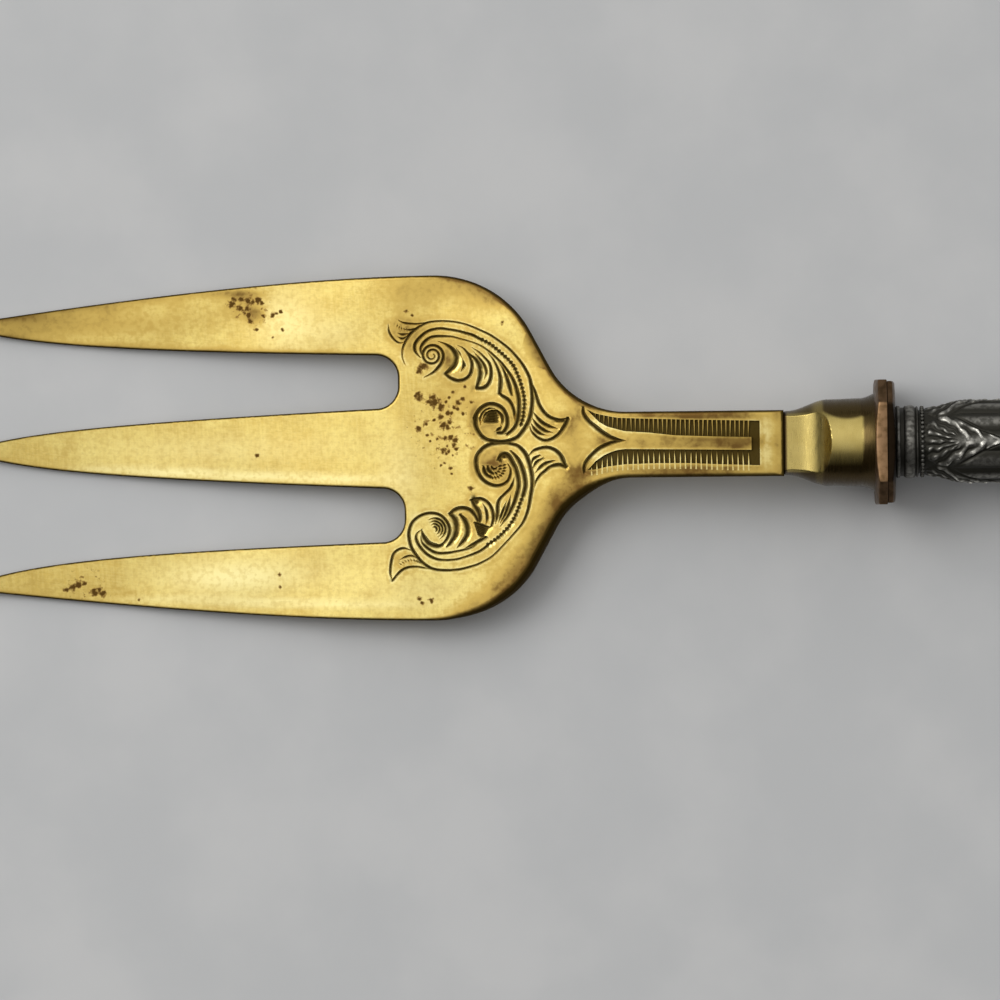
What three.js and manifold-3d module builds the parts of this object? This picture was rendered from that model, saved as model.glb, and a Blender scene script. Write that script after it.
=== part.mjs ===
// Bread fork: a three-tined brass blade, a brass bolster and collar threaded on its tang,
// and a stamped silver handle of two shells that is set on the tang with pitch.
// Millimetres, +Z up. The handle's axis runs along +X, the tines point along -X and the engraved face looks up.
// The origin is the middle of the collar's lower flat, which stands on the table together with the tines' bellies.

import * as THREE from "three";
import { mergeVertices } from "three/addons/utils/BufferGeometryUtils.js";
import Module from "manifold-3d";

const wasm = await Module();
wasm.setup();

// Collar: a square plate with cut corners, domed in front and bevelled behind
const COLLAR_ACROSS = 20.8; // over its flats, so half of it is the height of the handle's axis
const COLLAR_THICKNESS = 3.4;
const COLLAR_CORNER_CUT = 3.8; // along each side
const COLLAR_CORNER_EDGE = 0.9; // thickness that is left at its corners
const COLLAR_DOME_FALL = 0.45; // how far the front face falls back at the corners
const COLLAR_BEVEL_REACH = 2.6; // how far the back bevel runs in from the flats

// Bolster: a flat pad next to the neck that sweeps up to a drum under the collar
const BOLSTER_LENGTH = 15.1;
const PAD_LENGTH = 4.4;
const PAD_SWEEP = 3.3; // length of the hollow sweep from the pad up to the drum
const PAD_STEP = 0.1; // how far the pad's sides stand out past the neck's
const PAD_CORNER_CUT = 0.8;
const DRUM_SWELL = 1.8; // how far the drum's sides stand out past the pad's
const DRUM_FLARE = 0.6; // how much the drum widens on its way to the collar
const DRUM_CROWN = 0.5; // how much its faces swell in the middle
const DRUM_CORNER_CUT = 2.3;
const JOINT_CHAMFER = 0.35; // on both sides of the line between neck and bolster

// Blade from above: neck, shoulders, palm and three tines
const NECK_HALF_WIDTH = 5.3;
const NECK_LENGTH = 26.6; // from the bolster to where the shoulders begin
const SHOULDER_ANGLE = 62; // degrees that the outline turns out and back
const SHOULDER_HOLLOW_RADIUS = 14;
const SHOULDER_ROUND_RADIUS = 20;
const MIDDLE_TINE_HALF_WIDTH = 6.95; // at its root
const OUTER_TINE_WIDTH = 13.3; // at the root
const SLOT_WIDTH = 8.05; // at the bottom of the slots
const SLOT_SETBACK = 4.6; // from the end of the shoulder's round to the bottom of the slots
const SLOT_CORNER_RADIUS = 3.2;
const TINE_LENGTH = 71.8; // from the bottom of the slots to the tips
const TINE_TIP_OFFSET = 6.2; // of the outer tips, from the line of the slot's outer side
const TINE_TIP_RADIUS = 0.7;

// Blade from the side
const NECK_THICKNESS = 5.6; // at the bolster
const PALM_THICKNESS = 2.3;
const TIP_THICKNESS = 1.1;
const NECK_STRAIGHT = 14; // from the bolster to where the blade begins to fall
const BELLY_FROM_TIP = 17; // from the tips back to where the tines rest on the table
const TIP_RISE = 0.9; // of the tips' underside above the table

// Comb ornament sunk into the neck: two rows of teeth beside a plain bar, running out in a fish tail
const COMB_DEPTH = 0.5;
const COMB_RIM = 1.1; // plain metal between the rows and the neck's sides
const COMB_END_BAND = 4.0; // plain metal between the rows and the bolster
const COMB_END_GROOVE = 1.3; // width of the groove that joins the rows
const COMB_BAR_HALF_WIDTH = 1.3;
const COMB_TAIL_GAP = 1.1; // from the end of the straight rows to where the shoulders begin
const COMB_TAIL_LENGTH = 7.7;
const COMB_TAIL_FLARE = 0.9; // how far the tail's tips spread past the rows
const TOOTH_PITCH = 0.72;
const TOOTH_WIDTH = 0.32;
const TOOTH_GAP = 1.0; // between the teeth and the bar

// Tang
const TANG_SIDE_SHOULDER = 2.3; // from the neck's sides in to the tang
const TANG_FACE_SHOULDER = 0.8; // from the neck's faces in to the tang
const TANG_IN_HANDLE = 62; // from the collar to its end
const TANG_TAPER = 1.5; // how much it narrows there on each side
const TANG_CLEARANCE = 0.15;

// Handle
const HANDLE_LENGTH = 96.8; // from the collar to the end
const PITCH_ROUND_TANG = 0.7; // pitch over the tang's corners at the mouth
const PITCH_CLEARANCE = 0.15;
const SHELL_WALL = 0.6;
const FERRULE_CLEARANCE = 0.1;
const FERRULE_WALL = 0.75;
const FERRULE_LENGTH = 3.9;
const REED_COUNT = 3;
const REED_GROOVE_DEPTH = 0.25;
const REED_GROOVE_WIDTH = 0.7;
const MOUTH_GAP = 0.3; // between the collar and the shells inside the ferrule
const LEAF_ROOT_STEP = 0.4; // how far the handle steps in behind the ferrule
const LEAF_SWELL = 1.35; // how far the leaves swell from there
const STEM_WAIST = 0.7; // how far the stem draws in behind the leaves
const END_SWELL = 2.9; // how far the end swells past the stem
const END_CAP_LENGTH = 9.2; // of the rounded end
const END_FLATTENING = 0.86; // thickness over width near the end
const LEAF_LENGTH = 25;
const END_LEAF_LENGTH = 24;
const LEAF_COUNT = 6; // round the handle, one of them in the middle of the front
const LEAF_RELIEF = 0.5;
const LOBE_PITCH = 4.2; // along the handle
const LOBE_SWEEP = 5.0; // how far a lobe's tip lies behind its root
const FLUTE_COUNT = 12;
const FLUTE_RELIEF = 0.3;

// Fineness of the facets
const CURVE_STEPS = 10;
const TIP_STATIONS = 4;
const SIDE_STATIONS = 30;
const RING_SEGMENTS = 48;
const INSIDE_SEGMENTS = 24;
const CAP_STEPS = 6;
const LEAF_STATION_STEP = 1.25;
const STEM_STATION_STEP = 5;

// Places and sizes that follow
const AXIS_HEIGHT = COLLAR_ACROSS / 2;
const COLLAR_FRONT = -COLLAR_THICKNESS / 2;
const COLLAR_BACK = COLLAR_THICKNESS / 2;
const BOLSTER_FRONT = COLLAR_FRONT - BOLSTER_LENGTH;
const SWEEP_START = BOLSTER_FRONT + PAD_LENGTH;
const DRUM_FRONT = SWEEP_START + PAD_SWEEP;
const PAD_HALF_WIDTH = NECK_HALF_WIDTH + PAD_STEP;
const PAD_HALF_THICKNESS = NECK_THICKNESS / 2;
const DRUM_HALF_WIDTH = PAD_HALF_WIDTH + DRUM_SWELL;
const DRUM_FOOT_RADIUS = DRUM_HALF_WIDTH + DRUM_FLARE + DRUM_CROWN;

const SLOT_OUTER_SIDE = MIDDLE_TINE_HALF_WIDTH + SLOT_WIDTH;
const PALM_HALF_WIDTH = SLOT_OUTER_SIDE + OUTER_TINE_WIDTH;
const OUTER_TIP_Y = SLOT_OUTER_SIDE + TINE_TIP_OFFSET;
const SLOT_ROUND = Math.min(SLOT_CORNER_RADIUS, SLOT_WIDTH / 2);
const SHOULDER_TURN = THREE.MathUtils.degToRad(SHOULDER_ANGLE);
const SHOULDER_REACH = PALM_HALF_WIDTH - NECK_HALF_WIDTH;
const ROUNDS_REACH =
  (SHOULDER_HOLLOW_RADIUS + SHOULDER_ROUND_RADIUS) * (1 - Math.cos(SHOULDER_TURN));
const ROUNDS_FIT = Math.min(1, SHOULDER_REACH / ROUNDS_REACH); // the rounds never outgrow the shoulder
const HOLLOW_RADIUS = SHOULDER_HOLLOW_RADIUS * ROUNDS_FIT;
const ROUND_RADIUS = SHOULDER_ROUND_RADIUS * ROUNDS_FIT;
const SHOULDER_RUN =
  (HOLLOW_RADIUS + ROUND_RADIUS) * Math.sin(SHOULDER_TURN) +
  (SHOULDER_REACH - ROUNDS_REACH * ROUNDS_FIT) / Math.tan(SHOULDER_TURN);
const NECK_FRONT = BOLSTER_FRONT - NECK_LENGTH;
const PALM_CORNER = NECK_FRONT - SHOULDER_RUN;
const SLOT_ROOT = PALM_CORNER - SLOT_SETBACK;
const TIP = SLOT_ROOT - TINE_LENGTH;
const BELLY = TIP + BELLY_FROM_TIP;

const TANG_HALF_WIDTH = NECK_HALF_WIDTH - TANG_SIDE_SHOULDER;
const TANG_HALF_THICKNESS = NECK_THICKNESS / 2 - TANG_FACE_SHOULDER;
const SOCKET_CORNER = Math.hypot(TANG_HALF_WIDTH + TANG_CLEARANCE, TANG_HALF_THICKNESS + TANG_CLEARANCE);
const SHELL_NECK_RADIUS = SOCKET_CORNER + PITCH_ROUND_TANG + PITCH_CLEARANCE + SHELL_WALL;
const FERRULE_BORE = SHELL_NECK_RADIUS + FERRULE_CLEARANCE;
const FERRULE_RADIUS = FERRULE_BORE + FERRULE_WALL;
const FERRULE_END = COLLAR_BACK + FERRULE_LENGTH;
const MOUTH = COLLAR_BACK + MOUTH_GAP;
const LEAF_ROOT_RADIUS = FERRULE_RADIUS - LEAF_ROOT_STEP;
const LEAF_END = FERRULE_END + LEAF_LENGTH;
const HANDLE_END = COLLAR_BACK + HANDLE_LENGTH;
const END_LEAF_START = HANDLE_END - END_LEAF_LENGTH;
const CAP_START = HANDLE_END - END_CAP_LENGTH;

const PAST_ALL = 2 * (HANDLE_END - TIP); // the size of a cutting block that reaches past every face

// Turns a closed geometry into a solid that can be joined and cut.
function solid(geometry) {
  const loose = geometry.index ? geometry.toNonIndexed() : geometry;
  const bare = new THREE.BufferGeometry();
  bare.setAttribute("position", loose.getAttribute("position"));
  const merged = mergeVertices(bare, 1e-4);
  const mesh = new wasm.Mesh({
    numProp: 3,
    vertProperties: merged.getAttribute("position").array,
    triVerts: new Uint32Array(merged.index.array),
  });
  return new wasm.Manifold(mesh);
}

// Turns a solid back into a geometry.
function geometryOf(body) {
  const { vertProperties, triVerts, numProp, numVert } = body.getMesh();
  const positions = new Float32Array(numVert * 3);
  for (let i = 0; i < numVert; i += 1) {
    positions.set(vertProperties.subarray(i * numProp, i * numProp + 3), i * 3);
  }
  const geometry = new THREE.BufferGeometry();
  geometry.setAttribute("position", new THREE.BufferAttribute(positions, 3));
  geometry.setIndex(new THREE.BufferAttribute(new Uint32Array(triVerts), 1));
  geometry.computeVertexNormals();
  return geometry;
}

// An outline in X and Y, raised from far below the fork to far above it.
function raised(outline) {
  const shape = new THREE.Shape(outline);
  const geometry = new THREE.ExtrudeGeometry(shape, { depth: PAST_ALL, bevelEnabled: false });
  return solid(geometry.translate(0, 0, AXIS_HEIGHT - PAST_ALL / 2));
}

// An outline in X and Z, run across from far beside the fork to far past it.
function runAcross(outline) {
  const shape = new THREE.Shape(outline);
  const geometry = new THREE.ExtrudeGeometry(shape, { depth: PAST_ALL, bevelEnabled: false });
  return solid(geometry.rotateX(Math.PI / 2).translate(0, PAST_ALL / 2, 0));
}

// A profile of (radius, place along X) turned about the handle's axis.
function turnedOnAxis(profile) {
  const points = profile.map(([radius, x]) => new THREE.Vector2(radius, x));
  const geometry = new THREE.LatheGeometry(points, RING_SEGMENTS);
  return solid(geometry.rotateZ(-Math.PI / 2).translate(0, 0, AXIS_HEIGHT));
}

// A closed skin over rings of equally many points, with a cap at each end.
function lofted(rings) {
  const count = rings[0].length;
  const triangles = [];
  const cap = (ring, isFirst) => {
    const middle = ring.reduce((sum, p) => sum.add(p), new THREE.Vector3()).divideScalar(count);
    for (let j = 0; j < count; j += 1) {
      const next = (j + 1) % count;
      triangles.push(middle, ring[isFirst ? next : j], ring[isFirst ? j : next]);
    }
  };
  cap(rings[0], true);
  for (let i = 0; i + 1 < rings.length; i += 1) {
    for (let j = 0; j < count; j += 1) {
      const next = (j + 1) % count;
      triangles.push(rings[i][j], rings[i][next], rings[i + 1][next]);
      triangles.push(rings[i][j], rings[i + 1][next], rings[i + 1][j]);
    }
  }
  cap(rings[rings.length - 1], false);
  return solid(new THREE.BufferGeometry().setFromPoints(triangles));
}

// A smooth step from 0 to 1 as a value goes from one end to the other.
function eased(value, from, to) {
  const t = THREE.MathUtils.clamp((value - from) / (to - from), 0, 1);
  return t * t * (3 - 2 * t);
}

// Equal steps from one place up to, and without, another.
function stepsUpTo(from, to, step) {
  const count = Math.max(2, Math.ceil((to - from) / step));
  return Array.from({ length: count }, (_, i) => THREE.MathUtils.lerp(from, to, i / count));
}

// Closes the upper half of an outline with its mirror image below the axis.
function mirrored(upper) {
  const lower = upper.map((p) => new THREE.Vector2(p.x, -p.y)).reverse();
  return [...upper, ...lower.filter((p) => Math.abs(p.y) > 1e-6)];
}

// Blade: the outline from above

function bladeOutline() {
  const slotMiddle = SLOT_ROOT - SLOT_ROUND;
  const tipMiddle = TIP + TINE_TIP_RADIUS;
  const alongTine = (share) => THREE.MathUtils.lerp(slotMiddle, tipMiddle, share);
  const path = new THREE.Path();
  path.moveTo(BOLSTER_FRONT, 0);
  path.lineTo(BOLSTER_FRONT, NECK_HALF_WIDTH - JOINT_CHAMFER);
  path.lineTo(BOLSTER_FRONT - JOINT_CHAMFER, NECK_HALF_WIDTH);
  path.lineTo(NECK_FRONT, NECK_HALF_WIDTH);
  // the shoulder swings out in a hollow and back in a round
  path.absarc(NECK_FRONT, NECK_HALF_WIDTH + HOLLOW_RADIUS, HOLLOW_RADIUS,
    -Math.PI / 2, -Math.PI / 2 - SHOULDER_TURN, true);
  path.absarc(PALM_CORNER, PALM_HALF_WIDTH - ROUND_RADIUS, ROUND_RADIUS,
    Math.PI / 2 - SHOULDER_TURN, Math.PI / 2, false);
  // the outer tine runs out to its tip and back to the slot, bending most near the tip
  path.quadraticCurveTo(alongTine(0.28), PALM_HALF_WIDTH, tipMiddle, OUTER_TIP_Y + TINE_TIP_RADIUS);
  path.absarc(tipMiddle, OUTER_TIP_Y, TINE_TIP_RADIUS, Math.PI / 2, 1.5 * Math.PI, false);
  const innerBend = TINE_TIP_OFFSET - TINE_TIP_RADIUS;
  path.bezierCurveTo(
    alongTine(0.84), SLOT_OUTER_SIDE + 0.36 * innerBend,
    alongTine(0.5), SLOT_OUTER_SIDE + 0.18 * innerBend,
    slotMiddle, SLOT_OUTER_SIDE);
  path.absarc(slotMiddle, SLOT_OUTER_SIDE - SLOT_ROUND, SLOT_ROUND, Math.PI / 2, 0, true);
  path.absarc(slotMiddle, MIDDLE_TINE_HALF_WIDTH + SLOT_ROUND, SLOT_ROUND, 0, -Math.PI / 2, true);
  path.bezierCurveTo(
    alongTine(0.65), 0.7 * MIDDLE_TINE_HALF_WIDTH,
    alongTine(0.86), 0.5 * MIDDLE_TINE_HALF_WIDTH,
    tipMiddle, TINE_TIP_RADIUS);
  path.absarc(tipMiddle, 0, TINE_TIP_RADIUS, Math.PI / 2, Math.PI, false);
  return mirrored(path.getPoints(CURVE_STEPS));
}

// Blade: its underside, thickness and upper face along X

function bladeUnderside(x) {
  if (x < BELLY) {
    return TIP_RISE * ((BELLY - x) / BELLY_FROM_TIP) ** 2;
  }
  const neckUnderside = AXIS_HEIGHT - NECK_THICKNESS / 2;
  return neckUnderside * eased(x, BELLY, BOLSTER_FRONT - NECK_STRAIGHT);
}

function bladeThickness(x) {
  const neckPart = eased(x, PALM_CORNER, BOLSTER_FRONT);
  const tinePart = THREE.MathUtils.clamp((SLOT_ROOT - x) / TINE_LENGTH, 0, 1);
  return (
    PALM_THICKNESS +
    neckPart * (NECK_THICKNESS - PALM_THICKNESS) -
    tinePart * (PALM_THICKNESS - TIP_THICKNESS)
  );
}

function bladeTop(x) {
  return bladeUnderside(x) + bladeThickness(x);
}

// The full width between two heights, each of which follows the blade along X.
function bladeLayer(upperHeight, lowerHeight) {
  const stations = [
    ...stepsUpTo(TIP, BELLY, BELLY_FROM_TIP / TIP_STATIONS),
    ...stepsUpTo(BELLY, BOLSTER_FRONT, (BOLSTER_FRONT - BELLY) / SIDE_STATIONS),
    BOLSTER_FRONT,
  ];
  const upper = stations.map((x) => new THREE.Vector2(x, upperHeight(x)));
  const lower = stations.map((x) => new THREE.Vector2(x, lowerHeight(x)));
  return runAcross([...upper, ...lower.reverse()]);
}

// Comb: one row with its share of the groove that joins the rows, on one side of the axis

const combEnd = BOLSTER_FRONT - COMB_END_BAND;
const combBarEnd = combEnd - COMB_END_GROOVE;
const combTail = NECK_FRONT + COMB_TAIL_GAP;
const combHalfWidth = NECK_HALF_WIDTH - COMB_RIM;

function combRow(side) {
  const tailTip = combTail - COMB_TAIL_LENGTH;
  const path = new THREE.Path();
  path.moveTo(combEnd, 0);
  path.lineTo(combEnd, side * combHalfWidth);
  path.lineTo(combTail, side * combHalfWidth);
  path.quadraticCurveTo(combTail - COMB_TAIL_LENGTH / 2, side * combHalfWidth,
    tailTip, side * (combHalfWidth + COMB_TAIL_FLARE));
  path.quadraticCurveTo(combTail - COMB_TAIL_LENGTH / 3, side * COMB_BAR_HALF_WIDTH,
    combTail, side * COMB_BAR_HALF_WIDTH);
  path.lineTo(combBarEnd, side * COMB_BAR_HALF_WIDTH);
  path.lineTo(combBarEnd, 0);
  return raised(path.getPoints(CURVE_STEPS / 2));
}

// A tooth stands from the row's outer wall towards the bar and stops short of it.
function combTooth(x, side) {
  const root = side * NECK_HALF_WIDTH;
  const end = side * (COMB_BAR_HALF_WIDTH + TOOTH_GAP);
  return raised([
    new THREE.Vector2(x, end),
    new THREE.Vector2(x, root),
    new THREE.Vector2(x - TOOTH_WIDTH, root),
    new THREE.Vector2(x - TOOTH_WIDTH, end),
  ]);
}

function combCutter() {
  let cutter = combRow(1).add(combRow(-1));
  const toothCount = Math.floor((combBarEnd - combTail) / TOOTH_PITCH);
  for (let i = 0; i < toothCount; i += 1) {
    const x = combBarEnd - i * TOOTH_PITCH;
    cutter = cutter.subtract(combTooth(x, 1)).subtract(combTooth(x, -1));
  }
  const sunk = bladeLayer((x) => bladeTop(x) + COMB_DEPTH, (x) => bladeTop(x) - COMB_DEPTH);
  return cutter.intersect(sunk);
}

// Tang: straight through the bolster and collar, then tapering inside the handle

function tangBody(grown) {
  const ring = (x, narrowed) => {
    const y = TANG_HALF_WIDTH - narrowed + grown;
    const z = TANG_HALF_THICKNESS - Math.min(narrowed, TANG_HALF_THICKNESS / 2) + grown;
    const corners = [[y, -z], [y, z], [-y, z], [-y, -z]];
    return corners.map(([cornerY, cornerZ]) => new THREE.Vector3(x, cornerY, AXIS_HEIGHT + cornerZ));
  };
  const root = BOLSTER_FRONT - COMB_END_BAND / 2;
  const end = COLLAR_BACK + TANG_IN_HANDLE + grown;
  return lofted([ring(root, 0), ring(COLLAR_BACK, 0), ring(end, TANG_TAPER)]);
}

function forkBlade() {
  const plate = raised(bladeOutline()).intersect(bladeLayer(bladeTop, bladeUnderside));
  return plate.subtract(combCutter()).add(tangBody(0));
}

// Bolster

// One section: a rectangle with cut corners, its upper and lower faces crowned.
function bolsterRing(x, halfWidth, halfHeight, cut, crown) {
  const upper = [
    [halfWidth, halfHeight - cut],
    [halfWidth - cut, halfHeight],
    [0, halfHeight + crown],
    [cut - halfWidth, halfHeight],
    [-halfWidth, halfHeight - cut],
  ];
  const lower = upper.map(([y, z]) => [-y, -z]);
  return [...upper, ...lower].map(([y, z]) => new THREE.Vector3(x, y, AXIS_HEIGHT + z));
}

// The bolster from the side: flat on the pad, then hollowed up to the drum.
function bolsterSide() {
  const path = new THREE.Path();
  path.moveTo(COLLAR_FRONT, 0);
  path.lineTo(COLLAR_FRONT, 2 * DRUM_FOOT_RADIUS);
  path.lineTo(DRUM_FRONT, 2 * DRUM_FOOT_RADIUS);
  path.lineTo(DRUM_FRONT, DRUM_FOOT_RADIUS);
  path.quadraticCurveTo(DRUM_FRONT, PAD_HALF_THICKNESS, SWEEP_START, PAD_HALF_THICKNESS);
  path.lineTo(BOLSTER_FRONT + JOINT_CHAMFER, PAD_HALF_THICKNESS);
  path.lineTo(BOLSTER_FRONT, PAD_HALF_THICKNESS - JOINT_CHAMFER);
  path.lineTo(BOLSTER_FRONT, 0);
  const outline = mirrored(path.getPoints(CURVE_STEPS));
  return runAcross(outline.map((p) => new THREE.Vector2(p.x, p.y + AXIS_HEIGHT)));
}

function bolster() {
  const padRing = (x, chamfer) =>
    bolsterRing(x, PAD_HALF_WIDTH - chamfer, PAD_HALF_THICKNESS, PAD_CORNER_CUT, 0);
  const rings = [
    padRing(BOLSTER_FRONT, JOINT_CHAMFER),
    padRing(BOLSTER_FRONT + JOINT_CHAMFER, 0),
    padRing(SWEEP_START - PAD_LENGTH / 3, 0),
  ];
  for (const x of [...stepsUpTo(SWEEP_START, COLLAR_FRONT, PAD_SWEEP / 3), COLLAR_FRONT]) {
    const swell = eased(x, BOLSTER_FRONT, DRUM_FRONT) * DRUM_SWELL;
    const flare = eased(x, DRUM_FRONT, COLLAR_FRONT) * DRUM_FLARE;
    rings.push(bolsterRing(x, PAD_HALF_WIDTH + swell + flare, DRUM_HALF_WIDTH + flare,
      DRUM_CORNER_CUT, DRUM_CROWN));
  }
  return lofted(rings).intersect(bolsterSide()).subtract(tangBody(TANG_CLEARANCE));
}

// Collar

function collar() {
  const half = COLLAR_ACROSS / 2;
  const flat = half - COLLAR_CORNER_CUT;
  const corner = Math.hypot(half, flat);
  const quarter = [[half, flat], [flat, half]];
  const upper = [...quarter, ...quarter.map(([y, z]) => [-y, z]).reverse()];
  const outline = [...upper, ...upper.map(([y, z]) => [-y, -z])];
  const ring = (x) => outline.map(([y, z]) => new THREE.Vector3(x, y, AXIS_HEIGHT + z));
  const cornerFront = COLLAR_FRONT + COLLAR_DOME_FALL;
  const dome = turnedOnAxis([
    [0, COLLAR_FRONT],
    [DRUM_FOOT_RADIUS, COLLAR_FRONT],
    [corner, cornerFront],
    [corner, cornerFront + COLLAR_CORNER_EDGE],
    [half - COLLAR_BEVEL_REACH, COLLAR_BACK],
    [0, COLLAR_BACK],
  ]);
  const plate = lofted([ring(COLLAR_FRONT), ring(COLLAR_BACK)]);
  return plate.intersect(dome).subtract(tangBody(TANG_CLEARANCE));
}

// Handle: the reeded ferrule

function handleFerrule() {
  const profile = [[FERRULE_BORE, COLLAR_BACK], [FERRULE_RADIUS, COLLAR_BACK]];
  for (let i = 1; i < REED_COUNT; i += 1) {
    const groove = COLLAR_BACK + (i * FERRULE_LENGTH) / REED_COUNT;
    profile.push(
      [FERRULE_RADIUS, groove - REED_GROOVE_WIDTH / 2],
      [FERRULE_RADIUS - REED_GROOVE_DEPTH, groove],
      [FERRULE_RADIUS, groove + REED_GROOVE_WIDTH / 2]);
  }
  profile.push([FERRULE_RADIUS, FERRULE_END], [FERRULE_BORE, FERRULE_END], [FERRULE_BORE, COLLAR_BACK]);
  return turnedOnAxis(profile);
}

// Handle: the plain radius at a depth below the surface, without the relief

function handleRadius(x, depth) {
  const leafIn = eased(x, FERRULE_END + 0.08 * LEAF_LENGTH, FERRULE_END + 0.3 * LEAF_LENGTH);
  const leafOut = eased(x, FERRULE_END + 0.45 * LEAF_LENGTH, FERRULE_END + 1.3 * LEAF_LENGTH);
  const body =
    LEAF_ROOT_RADIUS +
    leafIn * LEAF_SWELL -
    leafOut * STEM_WAIST +
    eased(x, LEAF_END, CAP_START) * END_SWELL;
  const overCap = THREE.MathUtils.clamp((x - CAP_START) / (END_CAP_LENGTH - depth), 0, 1);
  return (body - depth) * Math.sqrt(1 - overCap * overCap);
}

// Handle: the relief. Lobes sweep back from each leaf's midrib, and flutes run along the stem between the leaves.

function leafRelief(fromRoot, fromFront) {
  const turns = (fromFront * LEAF_COUNT) / (2 * Math.PI);
  const fromMidrib = 2 * Math.abs(turns - Math.round(turns));
  const lobe = Math.abs(Math.sin((Math.PI * (fromRoot + LOBE_SWEEP * fromMidrib ** 1.4)) / LOBE_PITCH));
  return LEAF_RELIEF * (lobe * eased(fromMidrib, 1, 0.8) - 0.5);
}

function handleRelief(x, fromFront) {
  const leaf = eased(x, FERRULE_END, FERRULE_END + LOBE_PITCH / 2) * eased(x, LEAF_END, LEAF_END - LOBE_PITCH);
  const endLeaf =
    eased(x, END_LEAF_START, END_LEAF_START + LOBE_PITCH) * eased(x, HANDLE_END, CAP_START);
  const flutes =
    eased(x, LEAF_END - LOBE_PITCH, LEAF_END) * eased(x, END_LEAF_START + LOBE_PITCH, END_LEAF_START);
  return (
    leaf * leafRelief(x - FERRULE_END, fromFront) +
    endLeaf * leafRelief(HANDLE_END - x, fromFront) +
    flutes * FLUTE_RELIEF * (Math.abs(Math.cos((FLUTE_COUNT / 2) * fromFront)) - 0.5)
  );
}

// One ring round the axis. The seam between the two shells lies at its first and middle points.
function handleRing(x, segments, radiusAt) {
  const flattening = THREE.MathUtils.lerp(1, END_FLATTENING, eased(x, LEAF_END, CAP_START));
  return Array.from({ length: segments }, (_, j) => {
    const angle = (2 * Math.PI * j) / segments;
    const radius = radiusAt(angle - Math.PI / 2);
    const z = AXIS_HEIGHT + flattening * radius * Math.sin(angle);
    return new THREE.Vector3(x, radius * Math.cos(angle), z);
  });
}

// Places over the rounded end that close up towards its tip, which lies at a depth below the surface.
function capStations(depth) {
  const quarterTurn = (i) => Math.sin((Math.PI / 2) * (i / CAP_STEPS));
  return Array.from({ length: CAP_STEPS + 1 }, (_, i) => CAP_START + (END_CAP_LENGTH - depth) * quarterTurn(i));
}

function handleOutside() {
  const stations = [
    ...stepsUpTo(FERRULE_END, LEAF_END, LEAF_STATION_STEP),
    ...stepsUpTo(LEAF_END, END_LEAF_START, STEM_STATION_STEP),
    ...stepsUpTo(END_LEAF_START, CAP_START, LEAF_STATION_STEP),
    ...capStations(0),
  ];
  const neck = [MOUTH, FERRULE_END].map((x) => handleRing(x, RING_SEGMENTS, () => SHELL_NECK_RADIUS));
  const body = stations.map((x) =>
    handleRing(x, RING_SEGMENTS, (fromFront) => handleRadius(x, 0) + handleRelief(x, fromFront)));
  return lofted([...neck, ...body]);
}

// The hollow of the shells, or what fills it, at a depth below the deepest relief.
function handleInside(depth, mouth) {
  const belowRelief = depth + LEAF_RELIEF / 2;
  const stations = [...stepsUpTo(FERRULE_END, CAP_START, STEM_STATION_STEP), ...capStations(belowRelief)];
  const neck = [mouth, FERRULE_END].map((x) => [x, SHELL_NECK_RADIUS - depth]);
  const body = stations.slice(1).map((x) => [x, handleRadius(x, belowRelief)]);
  return lofted([...neck, ...body].map(([x, radius]) => handleRing(x, INSIDE_SEGMENTS, () => radius)));
}

// Half of the shell: the front above the seam, or the back below it.
function handleShell(side) {
  const block = new THREE.BoxGeometry(PAST_ALL, PAST_ALL, PAST_ALL);
  block.translate(0, 0, AXIS_HEIGHT + (side * PAST_ALL) / 2);
  const shell = handleOutside().subtract(handleInside(SHELL_WALL, MOUTH - MOUTH_GAP));
  return shell.intersect(solid(block));
}

function pitchFilling() {
  return handleInside(SHELL_WALL + PITCH_CLEARANCE, MOUTH).subtract(tangBody(TANG_CLEARANCE));
}

// Finishes and the finished fork

const brass = new THREE.MeshStandardMaterial({ color: 0xd2aa50, roughness: 0.36, metalness: 1 });
const bolsterBrass = new THREE.MeshStandardMaterial({ color: 0xcdb055, roughness: 0.3, metalness: 1 });
const redBrass = new THREE.MeshStandardMaterial({ color: 0xb98a62, roughness: 0.4, metalness: 1 });
const silver = new THREE.MeshStandardMaterial({ color: 0x8c8a83, roughness: 0.35, metalness: 1 });
const pitch = new THREE.MeshStandardMaterial({ color: 0x1b1512, roughness: 0.6, metalness: 0 });

const fork = new THREE.Group();
fork.name = "bread_fork";

function addPiece(name, body, material) {
  const mesh = new THREE.Mesh(geometryOf(body), material);
  mesh.name = name;
  fork.add(mesh);
}

addPiece("fork_blade", forkBlade(), brass);
addPiece("bolster", bolster(), bolsterBrass);
addPiece("collar", collar(), redBrass);
addPiece("handle_ferrule", handleFerrule(), silver);
addPiece("handle_front_shell", handleShell(1), silver);
addPiece("handle_back_shell", handleShell(-1), silver);
addPiece("pitch_filling", pitchFilling(), pitch);

export default fork;
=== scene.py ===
# %% [markdown]
# # A bread fork in brass and stamped silver
# The fork has a flat blade with three broad tines, an engraved palm and a comb ornament cut into its neck.
# Behind the neck sit a brass bolster and a redder collar, and then a silver handle that was stamped in two
# halves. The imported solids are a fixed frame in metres. Each finer piece below is made in millimetres in
# that same frame, so it lands where its solid is and nothing has to be fitted by eye.

# %% Load the frame
import math

import bmesh
import bpy
import numpy as np
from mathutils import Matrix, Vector
from mathutils.geometry import delaunay_2d_cdt


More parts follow.
